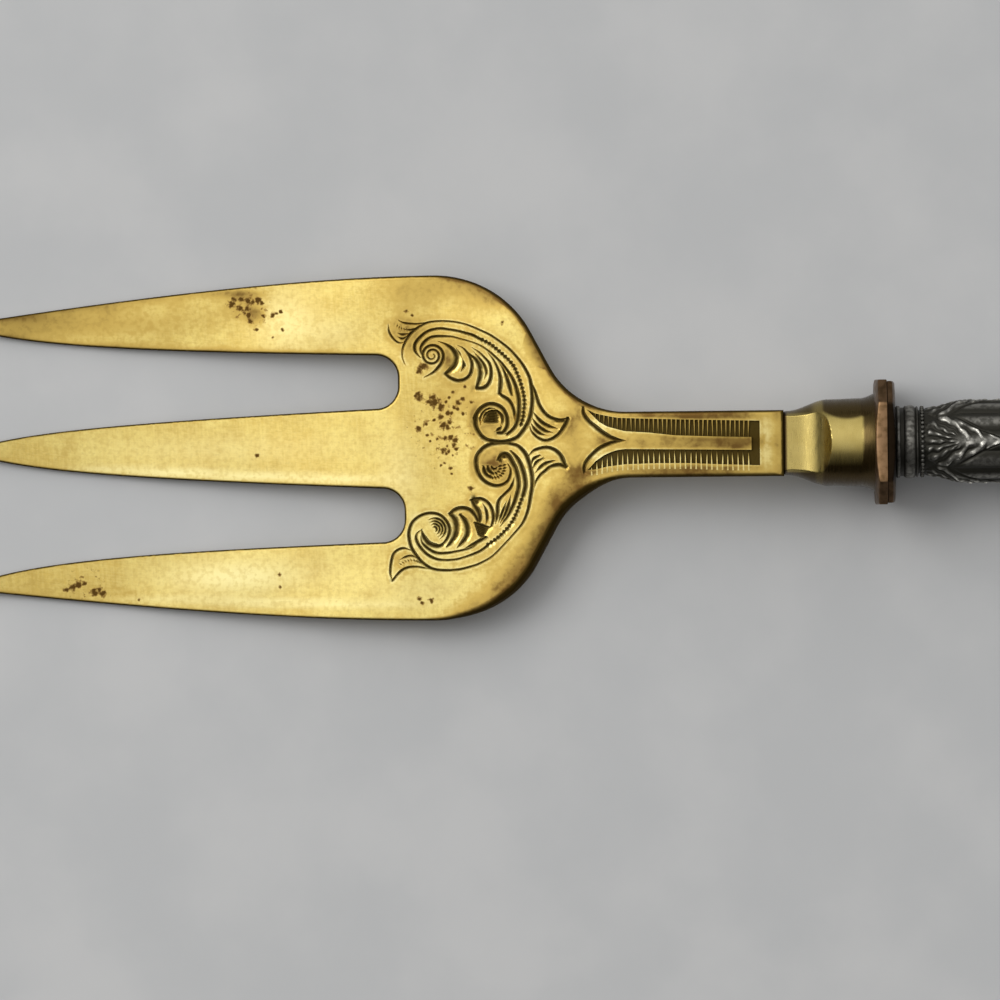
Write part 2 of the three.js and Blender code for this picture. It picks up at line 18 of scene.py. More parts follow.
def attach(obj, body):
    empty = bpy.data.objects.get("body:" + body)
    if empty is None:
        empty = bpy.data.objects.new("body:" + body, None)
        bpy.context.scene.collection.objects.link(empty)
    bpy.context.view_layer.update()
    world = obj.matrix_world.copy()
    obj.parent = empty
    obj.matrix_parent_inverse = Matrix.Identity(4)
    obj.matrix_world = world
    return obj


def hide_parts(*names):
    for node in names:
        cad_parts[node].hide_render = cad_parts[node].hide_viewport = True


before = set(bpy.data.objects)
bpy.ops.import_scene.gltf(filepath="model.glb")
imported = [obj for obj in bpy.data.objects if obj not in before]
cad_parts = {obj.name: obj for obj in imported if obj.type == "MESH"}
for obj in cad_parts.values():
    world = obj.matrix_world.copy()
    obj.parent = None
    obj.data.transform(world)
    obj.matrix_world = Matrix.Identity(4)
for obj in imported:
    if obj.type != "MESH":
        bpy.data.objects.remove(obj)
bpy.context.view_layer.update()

MM = 0.001
print("solids:", sorted(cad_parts))

# %% [markdown]
# ## Reading places off the photograph
# The photograph looks straight down on the fork, so a place in it is a place on the fork once the scale is
# known. Six pixels make a millimetre, the collar is the origin, and the fork lies turned by a little over
# half a degree. One function turns pixels into millimetres, and every engraved line below goes
# through it.

# %% From photo pixels to the fork
PIXELS_PER_MM = 6.0
COLLAR_PIXEL = (885.0, 442.0)  # where the fork's axis crosses the middle of the collar
AXIS_RISE = 0.0105  # how much the fork's axis climbs to the right
PHOTO_SIZE = 1000  # pixels, both ways


def on_fork(pixels):
    """The places of photo pixels on the fork, in millimetres."""
    across, down = np.asarray(pixels, float).T
    x = across - COLLAR_PIXEL[0]
    y = COLLAR_PIXEL[1] - AXIS_RISE * x - down
    return np.column_stack([x, y]) / PIXELS_PER_MM


PHOTO_MIDDLE = on_fork([(PHOTO_SIZE / 2, PHOTO_SIZE / 2)])[0]
print("the middle of the photograph lies at", PHOTO_MIDDLE.round(2), "mm")

# %% [markdown]
# ## The camera
# The outlines show almost no perspective, as in a picture taken from well above and cropped. A long lens
# high over the fork gives that. Its focal length follows from the width of the photograph at the height of
# the handle's axis, and the small turn of the fork goes into the camera's roll.

# %% Camera
AXIS_HEIGHT = 10.4
CAMERA_HEIGHT = 3000.0
SENSOR_WIDTH = 36.0
PHOTO_WIDTH = PHOTO_SIZE / PIXELS_PER_MM
VIEW_DEPTH = 20.0  # metres


def in_scene(name, data):
    """A new object of the scene with its data."""
    thing = bpy.data.objects.new(name, data)
    bpy.context.scene.collection.objects.link(thing)
    return thing


lens = bpy.data.cameras.new("overhead_camera")
lens.sensor_width = SENSOR_WIDTH
lens.lens = SENSOR_WIDTH * (CAMERA_HEIGHT - AXIS_HEIGHT) / PHOTO_WIDTH
lens.clip_end = VIEW_DEPTH
camera = in_scene("overhead_camera", lens)
camera.location = (PHOTO_MIDDLE[0] * MM, PHOTO_MIDDLE[1] * MM, CAMERA_HEIGHT * MM)
camera.rotation_euler = (0, 0, -math.atan(AXIS_RISE))
bpy.context.scene.camera = camera
bpy.context.scene.view_settings.view_transform = "Standard"
print("focal length", round(lens.lens, 1), "mm")

# %% [markdown]
# ## Small helpers for nodes
# Every finish below is a tree of shader nodes. Writing each node, its settings and its links by hand would
# bury the idea of a finish under plumbing, so one helper adds a node, sets its options and either links or
# fills its sockets.

# %% Node helper


def add_node(tree, kind, sockets=None, **options):
    """Adds a node, sets its options, and links or fills its input sockets."""
    node = tree.nodes.new(kind)
    for option, setting in options.items():
        setattr(node, option, setting)
    for socket, value in (sockets or {}).items():
        if isinstance(value, bpy.types.NodeSocket):
            tree.links.new(value, node.inputs[socket])
        else:
            node.inputs[socket].default_value = value
    return node


def ramped(tree, value, low, high, bottom=0.0, top=1.0):
    """A soft step of a value from one level to another."""
    step = add_node(tree, "ShaderNodeMapRange", {0: value, 1: low, 2: high, 3: bottom, 4: top})
    step.interpolation_type = "SMOOTHSTEP"
    return step.outputs[0]


def mixed(tree, mask, first, second):
    """One colour laid over another through a mask."""
    return add_node(tree, "ShaderNodeMix", {0: mask, 6: first, 7: second}, data_type="RGBA").outputs[2]


def counted(tree, operation, first, second):
    """A sum, product or other operation on two values."""
    return add_node(tree, "ShaderNodeMath", {0: first, 1: second}, operation=operation).outputs[0]


print("node helpers ready")

# %% [markdown]
# ## Light
# The picture was taken in soft daylight that falls in over the upper left corner: shadows lie to the lower
# right, and rounded brass turns dark on its lower side. Metal shows what surrounds it, so the sky matters
# more than lamps. The world is a smooth sky that is brightest overhead and towards the upper left and dim
# towards the lower right. One broad lamp in the same direction gives the soft shadow.

# %% Sky and lamp
SKY_BRIGHT_SIDE = Vector((-0.05, 0.60, 0.80)).normalized()
SKY_LEVELS = ((0.0, 0.03), (0.55, 0.05), (0.70, 0.22), (0.80, 0.56), (0.89, 0.84), (1.0, 1.0))
HORIZON_HAZE = (0.05, 0.42)  # the sky brightens between these heights
HORIZON_LEVEL = 0.25
LAMP_PLACE = Vector((-0.80, 0.42, 1.02))
LAMP_SIZE = 0.8  # metres
LAMP_POWER = 7.0  # watts

sky = bpy.data.worlds.new("soft_daylight")
sky.use_nodes = True
sky_tree = sky.node_tree
direction = add_node(sky_tree, "ShaderNodeTexCoord").outputs["Generated"]
towards = add_node(sky_tree, "ShaderNodeVectorMath", {0: direction, 1: SKY_BRIGHT_SIDE},
                   operation="DOT_PRODUCT")
share = counted(sky_tree, "MULTIPLY_ADD", towards.outputs["Value"], 0.5)
share.node.inputs[2].default_value = 0.5
levels = add_node(sky_tree, "ShaderNodeValToRGB", {0: share})
for place, _ in SKY_LEVELS[1:-1]:
    levels.color_ramp.elements.new(place)
for stop, (place, level) in zip(levels.color_ramp.elements, SKY_LEVELS):
    stop.position = place
    stop.color = (level, level, level, 1)
height = add_node(sky_tree, "ShaderNodeSeparateXYZ", {0: direction}).outputs["Z"]
background = sky_tree.nodes["Background"]
sky_tree.links.new(levels.outputs[0], background.inputs["Color"])
sky_tree.links.new(ramped(sky_tree, height, *HORIZON_HAZE, HORIZON_LEVEL), background.inputs["Strength"])
bpy.context.scene.world = sky

lamp_data = bpy.data.lights.new("window_lamp", "AREA")
lamp_data.size = LAMP_SIZE
lamp_data.energy = LAMP_POWER
lamp = in_scene("window_lamp", lamp_data)
lamp.location = LAMP_PLACE
lamp.rotation_euler = (-LAMP_PLACE).to_track_quat("-Z", "Y").to_euler()
print("sky levels", SKY_LEVELS)

# %% [markdown]
# ## The table
# The fork lies on a pale grey board, faintly mottled, with a few yellowish scuffs. It is a plain large
# plane with a matt material. Its pale look comes from its own colour, not from extra light.

# %% Table top
TABLE_HALF = 3.0
TABLE_DROP = -0.00003
BOARD_GREY = (0.56, 0.565, 0.565, 1)
BOARD_PALE = (0.61, 0.61, 0.605, 1)
BOARD_SCUFF = (0.63, 0.61, 0.53, 1)
BOARD_ROUGHNESS = 0.75
BOARD_SHEEN = 0.2

table_mesh = bpy.data.meshes.new("table_top")
corners = [(x * TABLE_HALF, y * TABLE_HALF, TABLE_DROP) for x, y in ((-1, -1), (1, -1), (1, 1), (-1, 1))]
table_mesh.from_pydata(corners, [], [(0, 1, 2, 3)])
table_top = in_scene("table_top", table_mesh)

painted_board = bpy.data.materials.new("painted_board")
painted_board.use_nodes = True
board_tree = painted_board.node_tree
board_place = add_node(board_tree, "ShaderNodeTexCoord").outputs["Object"]
mottle = add_node(board_tree, "ShaderNodeTexNoise", {"Vector": board_place, "Scale": 38.0, "Detail": 5.0})
mottle_mask = ramped(board_tree, mottle.outputs["Fac"], 0.35, 0.7)
board_colour = mixed(board_tree, mottle_mask, BOARD_GREY, BOARD_PALE)
scuffs = add_node(board_tree, "ShaderNodeTexNoise", {"Vector": board_place, "Scale": 21.0, "Detail": 3.0})
scuff_mask = ramped(board_tree, scuffs.outputs["Fac"], 0.68, 0.8, 0.0, 0.5)
board_colour = mixed(board_tree, scuff_mask, board_colour, BOARD_SCUFF)
board_shader = board_tree.nodes["Principled BSDF"]
board_shader.inputs["Roughness"].default_value = BOARD_ROUGHNESS
board_shader.inputs["Specular IOR Level"].default_value = BOARD_SHEEN
board_tree.links.new(board_colour, board_shader.inputs["Base Color"])
table_mesh.materials.append(painted_board)
print("table top", 2 * TABLE_HALF, "m square")

# %% [markdown]
# ## Effects that several finishes share
# Brushing, ageing and single spots turn up on the brass, the red brass and the silver alike. Each is a
# shader node group that is built once, reads a place in millimetres, and puts out one mask. The finishes
# then place the group with their own sizes.

# %% Shader groups
SPOT_RAGGEDNESS = 2.4
SPOT_EDGE = (2.5, 1.3)  # a spot is clean at the first level and full at the second


def new_group(name, inputs):
    """A shader group with a Place input, more named inputs and one Mask output."""
    group = bpy.data.node_groups.new(name, "ShaderNodeTree")
    group.interface.new_socket("Place", in_out="INPUT", socket_type="NodeSocketVector")
    for label, default in inputs.items():
        kind = "NodeSocketVector" if isinstance(default, tuple) else "NodeSocketFloat"
        group.interface.new_socket(label, in_out="INPUT", socket_type=kind).default_value = default
    group.interface.new_socket("Mask", in_out="OUTPUT", socket_type="NodeSocketFloat")
    entry = group.nodes.new("NodeGroupInput")
    leave = group.nodes.new("NodeGroupOutput")
    return group, entry.outputs, leave.inputs["Mask"]


brushed, entry, leave = new_group("brushed_strokes", {"Turn": (0.0, 0.0, 0.0), "Fineness": (0.4, 6.0, 6.0)})
turned = add_node(brushed, "ShaderNodeMapping", {"Vector": entry["Place"], "Rotation": entry["Turn"]})
stretched = add_node(brushed, "ShaderNodeVectorMath", {0: turned.outputs[0], 1: entry["Fineness"]},
                     operation="MULTIPLY")
hairs = add_node(brushed, "ShaderNodeTexNoise", {
    "Vector": stretched.outputs[0], "Scale": 1.0, "Detail": 3.0})
brushed.links.new(hairs.outputs["Fac"], leave)

aged, entry, leave = new_group("aged_patches", {"Grain": 0.3, "Start": 0.45, "End": 0.7})
clouds = add_node(aged, "ShaderNodeTexNoise", {
    "Vector": entry["Place"], "Scale": entry["Grain"], "Detail": 6.0})
aged.links.new(ramped(aged, clouds.outputs["Fac"], entry["Start"], entry["End"]), leave)

spot, entry, leave = new_group("stain_spot", {"Raggedness": 0.5, "Centre": (0.0, 0.0, 0.0), "Radius": 1.0})
flat = add_node(spot, "ShaderNodeVectorMath", {0: entry["Place"], 1: (1, 1, 0)}, operation="MULTIPLY")
apart = add_node(spot, "ShaderNodeVectorMath", {0: flat.outputs[0], 1: entry["Centre"]},
                 operation="DISTANCE")
relative = counted(spot, "DIVIDE", apart.outputs["Value"], entry["Radius"])
ragged = counted(spot, "ADD", relative, counted(spot, "MULTIPLY", entry["Raggedness"], SPOT_RAGGEDNESS))
spot.links.new(ramped(spot, ragged, *SPOT_EDGE), leave)
print("shader groups:", [group.name for group in bpy.data.node_groups])

# %% [markdown]
# ## Finishes
# All the metals are a Principled shader at or near full metallic. What differs is the colour of the metal,
# how far it has browned, what lies in its hollows, and the shade and highlights painted into it. The blade's
# mesh carries three values for that. hollow says how deep a point lies in a cut, and along the outline and
# at the neck's end it also carries painted shade. The second value says how far the metal has turned there,
# together with painted shade over the shoulders and in parts of the scrolls. The third says how pale cloths
# and fingers have kept it, together with painted highlights along the lower edges of the tines and beside
# the cuts.

# %% Metal finish helper


def start_finish(name):
    """A new material, its place in millimetres and its shader."""
    material = bpy.data.materials.new(name)
    material.use_nodes = True
    tree = material.node_tree
    place = add_node(tree, "ShaderNodeTexCoord").outputs["Object"]
    place = add_node(tree, "ShaderNodeVectorMath", {0: place, "Scale": 1 / MM}, operation="SCALE").outputs[0]
    return material, tree, place, tree.nodes["Principled BSDF"]


def grouped(tree, group, place, **values):
    """Places a shared effect and returns its mask."""
    node = add_node(tree, "ShaderNodeGroup", node_tree=group)
    tree.links.new(place, node.inputs["Place"])
    for label, value in values.items():
        node.inputs[label].default_value = value
    return node.outputs["Mask"]


def carried(tree, label):
    """A value that the mesh carries at its points."""
    return add_node(tree, "ShaderNodeAttribute", attribute_name=label).outputs["Fac"]


def finish_metal(tree, shader, colour, roughness, metallic, grain, grain_height):
    """Links a metal's colour, roughness and fine grain to its shader."""
    tree.links.new(colour, shader.inputs["Base Color"])
    tree.links.new(roughness, shader.inputs["Roughness"])
    tree.links.new(metallic, shader.inputs["Metallic"])
    bump = add_node(tree, "ShaderNodeBump", {
        "Height": grain, "Strength": 0.5, "Distance": grain_height * MM})
    tree.links.new(bump.outputs[0], shader.inputs["Normal"])


print("finish helpers ready")

# %% [markdown]
# ### Blade brass
# The blade is worn yellow brass. It was brushed across, it is paler where it was rubbed and browner towards
# its tips, on its neck and in patches, the cuts hold dark dirt, and a few spots of old corrosion sit on the
# palm and the tines. Painted shade darkens its edges, its shoulders and parts of the scrolls, and painted
# highlights lie pale along the lower edges of the tines and beside the cuts.

# %% Blade brass
STAINS = {  # photo pixels of the middle, radius in pixels
    "upper tine": (
        (249, 300, 5), (243, 298.5, 4), (254, 301, 3.4), (259.6, 300, 4.4), (263, 303, 2.8),
        (232.5, 304, 4.6), (235, 299, 3), (241.5, 308, 4.2), (249, 308, 4), (250, 314, 3.8),
        (252, 320, 3.4), (258, 329, 2.4), (265, 315, 2.6), (274, 314.5, 2.6), (278, 313, 2.6),
        (282, 311.6, 2.4), (284, 329.6, 2.2), (274, 337, 1.8), (246, 313, 2.6),
    ),
    "tip of the lower tine": (
        (70, 588, 4), (76, 585, 4), (64, 590, 3), (82, 584, 3), (92, 592, 5), (101, 594, 4), (97, 590, 3),
        (137, 600, 2),
    ),
    "middle and lower tine": (
        (257, 456, 2.4), (278, 575, 2), (279, 587, 2),
    ),
    "upper volute": (
        (425, 366, 5), (420, 371, 4),
    ),
    "palm": (
        (419.5, 396.5, 5), (435, 402, 7), (441, 407, 5), (429, 402, 3.4), (434, 397, 4.5), (448, 413, 2.8),
        (441, 417, 3.6), (435, 420, 1.8), (444, 426, 5), (450.5, 422, 3.4), (448, 427, 3.6),
        (419, 429, 3.5), (427, 424, 1.9), (427, 435, 1.9), (431, 441, 1.6), (438, 439, 2.1),
        (446, 438, 2.6), (451, 437, 3.2), (456, 440, 3.2), (455, 445, 2.8), (457, 449, 2), (448, 446, 1.8),
        (443.5, 451, 3.7), (449, 451, 2.2), (446.5, 454, 2.2), (453, 455, 2), (445, 463, 1.8),
        (441, 465.5, 1.8), (451, 468, 2.5), (452, 474, 1.6), (459, 402, 3.4), (463.5, 399, 2.6),
        (454.5, 407, 2.2), (459, 409, 2.6), (447, 401.5, 2.2), (450.5, 397.5, 2.2), (453.5, 392, 2),
        (465.5, 386.5, 2.2), (472, 402, 2), (464, 413.5, 2), (452.5, 413, 2.2),
    ),
    "edges and lower scroll": (
        (418, 599, 2.8), (421, 603, 2.4), (430, 601, 3.4), (471, 489, 3.6), (408, 311, 2.6), (414, 315, 2),
        (504, 322, 2.6),
    ),
}
SPECKLED = ((252, 308, 22), (446, 428, 40), (85, 589, 22))  # areas that are sprinkled with fine specks
BRASS = {
    "plain": (0.69, 0.50, 0.13, 1), "pale patches": (0.78, 0.615, 0.19, 1), "clouds": (0.55, 0.37, 0.085, 1),
    "brushed hairs": (0.92, 0.78, 0.30, 1), "mottling": (0.50, 0.34, 0.085, 1),
    "speckle": (0.47, 0.33, 0.085, 1), "rubbed": (0.98, 0.87, 0.42, 1), "amber": (0.56, 0.385, 0.095, 1),
    "brown": (0.155, 0.085, 0.021, 1), "stain's rim": (0.32, 0.195, 0.05, 1),
    "stain": (0.095, 0.045, 0.008, 1), "dirt_and_edge_shade": (0.050, 0.031, 0.005, 1),
}
BLADE_GRAIN = 0.010  # millimetres, like the grains below

blade_brass, tree, place, shader = start_finish("blade_brass")
ragged_noise = add_node(tree, "ShaderNodeTexNoise", {"Vector": place, "Scale": 1.7, "Detail": 5.0})


def stain_mask(spots):
    """The union of several spots given in photo pixels."""
    union = None
    for across, down, radius in spots:
        middle = on_fork([(across, down)])[0]
        one = grouped(tree, spot, place, Centre=(middle[0], middle[1], 0.0), Radius=radius / PIXELS_PER_MM)
        tree.links.new(ragged_noise.outputs["Fac"], one.node.inputs["Raggedness"])
        union = one if union is None else counted(tree, "MAXIMUM", union, one)
    return union


patchy = grouped(tree, aged, place, Grain=0.055, Start=0.4, End=0.62)
clouded = grouped(tree, aged, place, Grain=0.28, Start=0.42, End=0.75)
mottled = grouped(tree, aged, place, Grain=1.2, Start=0.4, End=0.7)
speckle = grouped(tree, aged, place, Grain=2.6, Start=0.5, End=0.75)
specks = grouped(tree, aged, place, Grain=1.1, Start=0.55, End=0.64)
hairs_across = grouped(tree, brushed, place, Turn=(0.0, 0.0, 1.52), Fineness=(0.22, 2.8, 2.8))
hairs_along = grouped(tree, brushed, place, Turn=(0.0, 0.0, 0.12), Fineness=(0.3, 5.0, 5.0))
grain = counted(tree, "ADD", hairs_across, hairs_along)
colour = mixed(tree, patchy, BRASS["plain"], BRASS["pale patches"])
colour = mixed(tree, counted(tree, "MULTIPLY", clouded, 0.5), colour, BRASS["clouds"])
colour = mixed(tree, ramped(tree, grain, 0.75, 1.25, 0.0, 0.25), colour, BRASS["brushed hairs"])
colour = mixed(tree, counted(tree, "MULTIPLY", mottled, 0.3), colour, BRASS["mottling"])
colour = mixed(tree, counted(tree, "MULTIPLY", speckle, 0.3), colour, BRASS["speckle"])
# Paler brass where cloths and fingers rubbed it, and painted highlights along the lower edges of the tines
# and beside the cuts.
pale = counted(tree, "MULTIPLY", carried(tree, "rubbed"), ramped(tree, mottled, 0.0, 1.0, 1.0, 0.6))
colour = mixed(tree, pale, colour, BRASS["rubbed"])
# The second value darkens the brass to amber and brown: real browning in patches and along the edges, and
# painted shade over the shoulders and in parts of the scrolls.
browned = counted(tree, "MULTIPLY", carried(tree, "brown"), ramped(tree, clouded, 0.0, 1.0, 0.85, 1.1))
browned = counted(tree, "ADD", browned, ramped(tree, mottled, 0.0, 1.0, -0.04, 0.06))
colour = mixed(tree, ramped(tree, browned, 0.05, 0.45), colour, BRASS["amber"])
colour = mixed(tree, ramped(tree, browned, 0.35, 1.0), colour, BRASS["brown"])
speckled = counted(tree, "MULTIPLY", specks, stain_mask(SPECKLED))
every_stain = [one for area in STAINS.values() for one in area]
stained = counted(tree, "MAXIMUM", stain_mask(every_stain), counted(tree, "MULTIPLY", speckled, 0.6))
colour = mixed(tree, ramped(tree, stained, 0.05, 0.5, 0.0, 0.85), colour, BRASS["stain's rim"])
colour = mixed(tree, ramped(tree, stained, 0.35, 0.9, 0.0, 0.92), colour, BRASS["stain"])
# Dark dirt in the cuts and sunk rows, and painted shade along the outline and at the neck's end, both laid
# on in the same near-black brown.
uneven_dirt_and_edge_shade = counted(tree, "MULTIPLY", carried(tree, "hollow"), ramped(tree, mottled, 0.0, 1.0, 1.1, 0.8))
dirt_and_edge_shade_mask = ramped(tree, uneven_dirt_and_edge_shade, 0.05, 0.8)
colour = mixed(tree, counted(tree, "MULTIPLY", dirt_and_edge_shade_mask, 0.95), colour, BRASS["dirt_and_edge_shade"])
dull = counted(tree, "MAXIMUM", dirt_and_edge_shade_mask, stained)
roughness = ramped(tree, dull, 0.0, 1.0, 0.34, 0.6)
metallic = ramped(tree, dull, 0.0, 1.0, 1.0, 0.97)
finish_metal(tree, shader, colour, roughness, metallic, grain, BLADE_GRAIN)
print("blade brass with", len(every_stain), "stains")

# %% [markdown]
# ### Bolster brass, red brass, silver and pitch
# The bolster is the same brass, lighter on its pad and darkened with painted shade on its sides and in its
# corners. The collar is a redder alloy that dulls to copper, with painted shade on its cut corners and on
# its front round the bolster. The silver is almost black in its hollows and bright on its ridges. The pitch
# never shows.

# %% The other finishes
# The darkest bolster colour is the painted shade on the sides, in the corners, under the collar and on the
# lip.
BOLSTER_COLOURS = {
    "satin": (0.60, 0.47, 0.155, 1), "dull": (0.49, 0.37, 0.105, 1), "corners": (0.058, 0.036, 0.009, 1)}
COLLAR_COLOURS = {
    "copper": (0.31, 0.185, 0.095, 1), "dull": (0.17, 0.10, 0.045, 1),
    "back plate": (0.007, 0.004, 0.0015, 1)}
SILVER_COLOURS = {"tarnish": (0.028, 0.026, 0.019, 1), "ridges": (0.62, 0.60, 0.54, 1)}
PITCH_COLOURS = {"hollows": (0.010, 0.007, 0.005, 1), "lumps": (0.020, 0.014, 0.010, 1)}
BOLSTER_GRAIN = 0.005
COLLAR_GRAIN = 0.008
SILVER_GRAIN = 0.02

bolster_brass, tree, place, shader = start_finish("bolster_brass")
clouded = grouped(tree, aged, place, Grain=0.35, Start=0.4, End=0.7)
grain = grouped(tree, brushed, place, Turn=(0.0, 0.0, 0.05), Fineness=(5.0, 0.5, 0.5))
half_clouded = counted(tree, "MULTIPLY", clouded, 0.5)
colour = mixed(tree, half_clouded, BOLSTER_COLOURS["satin"], BOLSTER_COLOURS["dull"])
# Painted shade, laid on as dark brown.
colour = mixed(tree, carried(tree, "brown"), colour, BOLSTER_COLOURS["corners"])
roughness = ramped(tree, grain, 0.3, 0.7, 0.24, 0.36)
metallic = ramped(tree, carried(tree, "brown"), 0.0, 1.0, 1.0, 0.85)
finish_metal(tree, shader, colour, roughness, metallic, grain, BOLSTER_GRAIN)

red_brass, tree, place, shader = start_finish("red_brass")
clouded = grouped(tree, aged, place, Grain=0.9, Start=0.4, End=0.72)
grain = grouped(tree, brushed, place, Turn=(0.0, 0.0, 0.0), Fineness=(6.0, 0.6, 0.6))
colour = mixed(tree, clouded, COLLAR_COLOURS["copper"], COLLAR_COLOURS["dull"])
# Painted shade on the cut corners and on the front round the bolster; the back plate is near black.
colour = mixed(tree, carried(tree, "brown"), colour, COLLAR_COLOURS["back plate"])
roughness = ramped(tree, grain, 0.3, 0.7, 0.34, 0.48)
metallic = ramped(tree, carried(tree, "brown"), 0.0, 1.0, 1.0, 0.95)
finish_metal(tree, shader, colour, roughness, metallic, grain, COLLAR_GRAIN)

stamped_silver, tree, place, shader = start_finish("stamped_silver")
clouded = grouped(tree, aged, place, Grain=1.3, Start=0.36, End=0.68)
grain = grouped(tree, brushed, place, Turn=(0.0, 0.0, 0.3), Fineness=(1.2, 4.0, 4.0))
bright = counted(tree, "MULTIPLY", carried(tree, "ridge"), ramped(tree, clouded, 0.0, 1.0, 1.0, 0.3))
colour = mixed(tree, bright, SILVER_COLOURS["tarnish"], SILVER_COLOURS["ridges"])
roughness = ramped(tree, bright, 0.0, 1.0, 0.52, 0.24)
metallic = ramped(tree, bright, 0.0, 0.5, 0.7, 1.0)
hammered = counted(tree, "ADD", grain, counted(tree, "MULTIPLY", clouded, 1.6))
finish_metal(tree, shader, colour, roughness, metallic, hammered, SILVER_GRAIN)

black_pitch, tree, place, shader = start_finish("black_pitch")
lumps = grouped(tree, aged, place, Grain=0.6, Start=0.3, End=0.7)
colour = mixed(tree, lumps, PITCH_COLOURS["hollows"], PITCH_COLOURS["lumps"])
tree.links.new(colour, shader.inputs["Base Color"])
tree.links.new(ramped(tree, lumps, 0.0, 1.0, 0.45, 0.7), shader.inputs["Roughness"])
pitch_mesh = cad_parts["pitch_filling"].data
pitch_mesh.materials.clear()
pitch_mesh.materials.append(black_pitch)
all_finishes = (blade_brass, bolster_brass, red_brass, stamped_silver, black_pitch)
print("finishes:", [finish.name for finish in all_finishes])

# %% [markdown]
# ## Making a piece
# Every piece is a mesh with its place in its points. One helper makes the mesh from millimetres, stores the
# values that the finish reads and marks creases sharper than an angle. Another dresses the piece: it gives
# it its finish and its body and hides the solids that it stands for. The collar and the ferrule are
# both profiles that are carried round the fork's axis, so they share a helper too.

# %% Piece helpers
POLE_SIZE = 1e-8  # metres


def carry(mesh, **carried_values):
    """Stores named values at the points of a mesh."""
    for label, values in carried_values.items():
        layer = mesh.attributes.new(label, "FLOAT", "POINT")
        layer.data.foreach_set("value", np.asarray(values, np.float32))


def make_mesh(name, points, faces, crease, **carried_values):
    """A mesh piece from points in millimetres, smooth up to a crease angle in degrees."""
    mesh = bpy.data.meshes.new(name)
    mesh.from_pydata((np.asarray(points) * MM).tolist(), [], [tuple(map(int, face)) for face in faces])
    carry(mesh, **carried_values)
    mesh.shade_smooth()
    mesh.set_sharp_from_angle(angle=math.radians(crease))
    mesh.validate()
    return in_scene(name, mesh)


def points_of(piece):
    """The points of a piece, in millimetres."""
    return np.array([v.co for v in piece.data.vertices]) / MM


def from_axis(points):
    """How far points lie from the fork's axis."""
    return np.hypot(points[:, 1], points[:, 2] - AXIS_HEIGHT)


def enclosed(piece):
    """The volume that a piece encloses, in cubic millimetres; negative if it is inside out."""
    mesh = piece.data
    mesh.calc_loop_triangles()
    at = points_of(piece)
    a, b, c = (at[[t.vertices[k] for t in mesh.loop_triangles]] for k in range(3))
    return float(np.einsum("ij,ij->i", a, np.cross(b, c)).sum() / 6)


def close_poles(piece):
    """Merges the points that meet in a pole."""
    shape = bmesh.new()
    shape.from_mesh(piece.data)
    bmesh.ops.remove_doubles(shape, verts=shape.verts, dist=POLE_SIZE)
    shape.to_mesh(piece.data)
    shape.free()


def dress(piece, finish, slot, *solids):
    """Gives a piece its finish and its body and hides the solids that it stands for; slot is not used."""
    piece.data.materials.clear()
    piece.data.materials.append(finish)
    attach(piece, "root")
    if solids:
        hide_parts(*solids)
    print(piece.name, "faces", len(piece.data.polygons), "volume", round(enclosed(piece), 1), "mm3")


def grid_faces(rows, columns, closed=False, first=0):
    """Quads over rows of equally many points; closed joins each row's end to its start."""
    faces = []
    for i in range(rows - 1):
        for j in range(columns if closed else columns - 1):
            a = first + i * columns + j
            b = first + i * columns + (j + 1) % columns
            faces.append((a, b, b + columns, a + columns))
    return faces


def full_turn(count):
    """Even angles all the way round."""
    return np.linspace(0, 2 * math.pi, count, endpoint=False)


def turned_piece(profile, turn):
    """Points and faces of a closed profile of places and distances, carried round the fork's axis."""
    count = len(turn)
    rows = []
    for place, distance in profile:
        distance = np.broadcast_to(distance, count)
        height = AXIS_HEIGHT + distance * np.sin(turn)
        rows.append(np.column_stack([np.broadcast_to(place, count), distance * np.cos(turn), height]))
    faces = grid_faces(len(rows), count, closed=True)
    first = np.arange(count)
    last = first + (len(rows) - 1) * count
    faces += list(zip(last, np.roll(last, -1), np.roll(first, -1), first))
    return np.vstack(rows), faces


def eased(value, start, end):
    """A soft step from 0 to 1 as a value goes from start to end."""
    t = np.clip((np.asarray(value, float) - start) / (end - start), 0, 1)
    return t * t * (3 - 2 * t)


print("piece helpers ready")

# %% [markdown]
# ## The blade's outline
# From above, the blade is neck, swung shoulders, palm and three tapering tines. The outline is arcs and
# Bezier curves, as a pattern maker would draw it. Hand filing left the two halves a little unlike, so each
# has its own few sizes. The lower shoulder is rolled over: its edge leaves the drawn curve outwards and
# turns down.

# %% Outline
NECK_END = -16.8
NECK_HALF = 5.5
NECK_FRONT = -43.4
SHOULDER_TURN = math.radians(62)
HOLLOW_RADIUS = 14.0
ROUND_RADIUS = 18.0
PALM_CORNER = -76.06
SLOT_ROOT = -80.66
SLOT_ROUND = 3.7
TIP = -152.46
TIP_ROUND = 0.7
OUTLINE_STEP = 0.4
LOWER_ROLL = 1.3
UPPER_ROLL = 0.2
ROLL_STARTS = (-73, -57)
ROLL_ENDS = (-42, -52)
SHOULDER_STARTS = (-78, -68)
SHOULDER_ENDS = (-45, -53)
SAME_POINT = 1e-6


def arc(centre, radius, start, end):
    """Points along an arc, in degrees from start to end."""
    count = max(4, int(abs(math.radians(end - start)) * radius / OUTLINE_STEP) + 1)
    angles = np.radians(np.linspace(start, end, count))
    return np.column_stack([centre[0] + radius * np.cos(angles), centre[1] + radius * np.sin(angles)])


def bezier(*controls):
    """Points along a Bezier curve of any order."""
    controls = np.asarray(controls, float)
    length = np.linalg.norm(controls[-1] - controls[0])
    t = np.linspace(0, 1, int(length / OUTLINE_STEP) + 2)[:, None]
    level = [np.repeat(c[None], len(t), axis=0) for c in controls]
    while len(level) > 1:
        level = [a * (1 - t) + b * t for a, b in zip(level, level[1:])]
    return level[0]


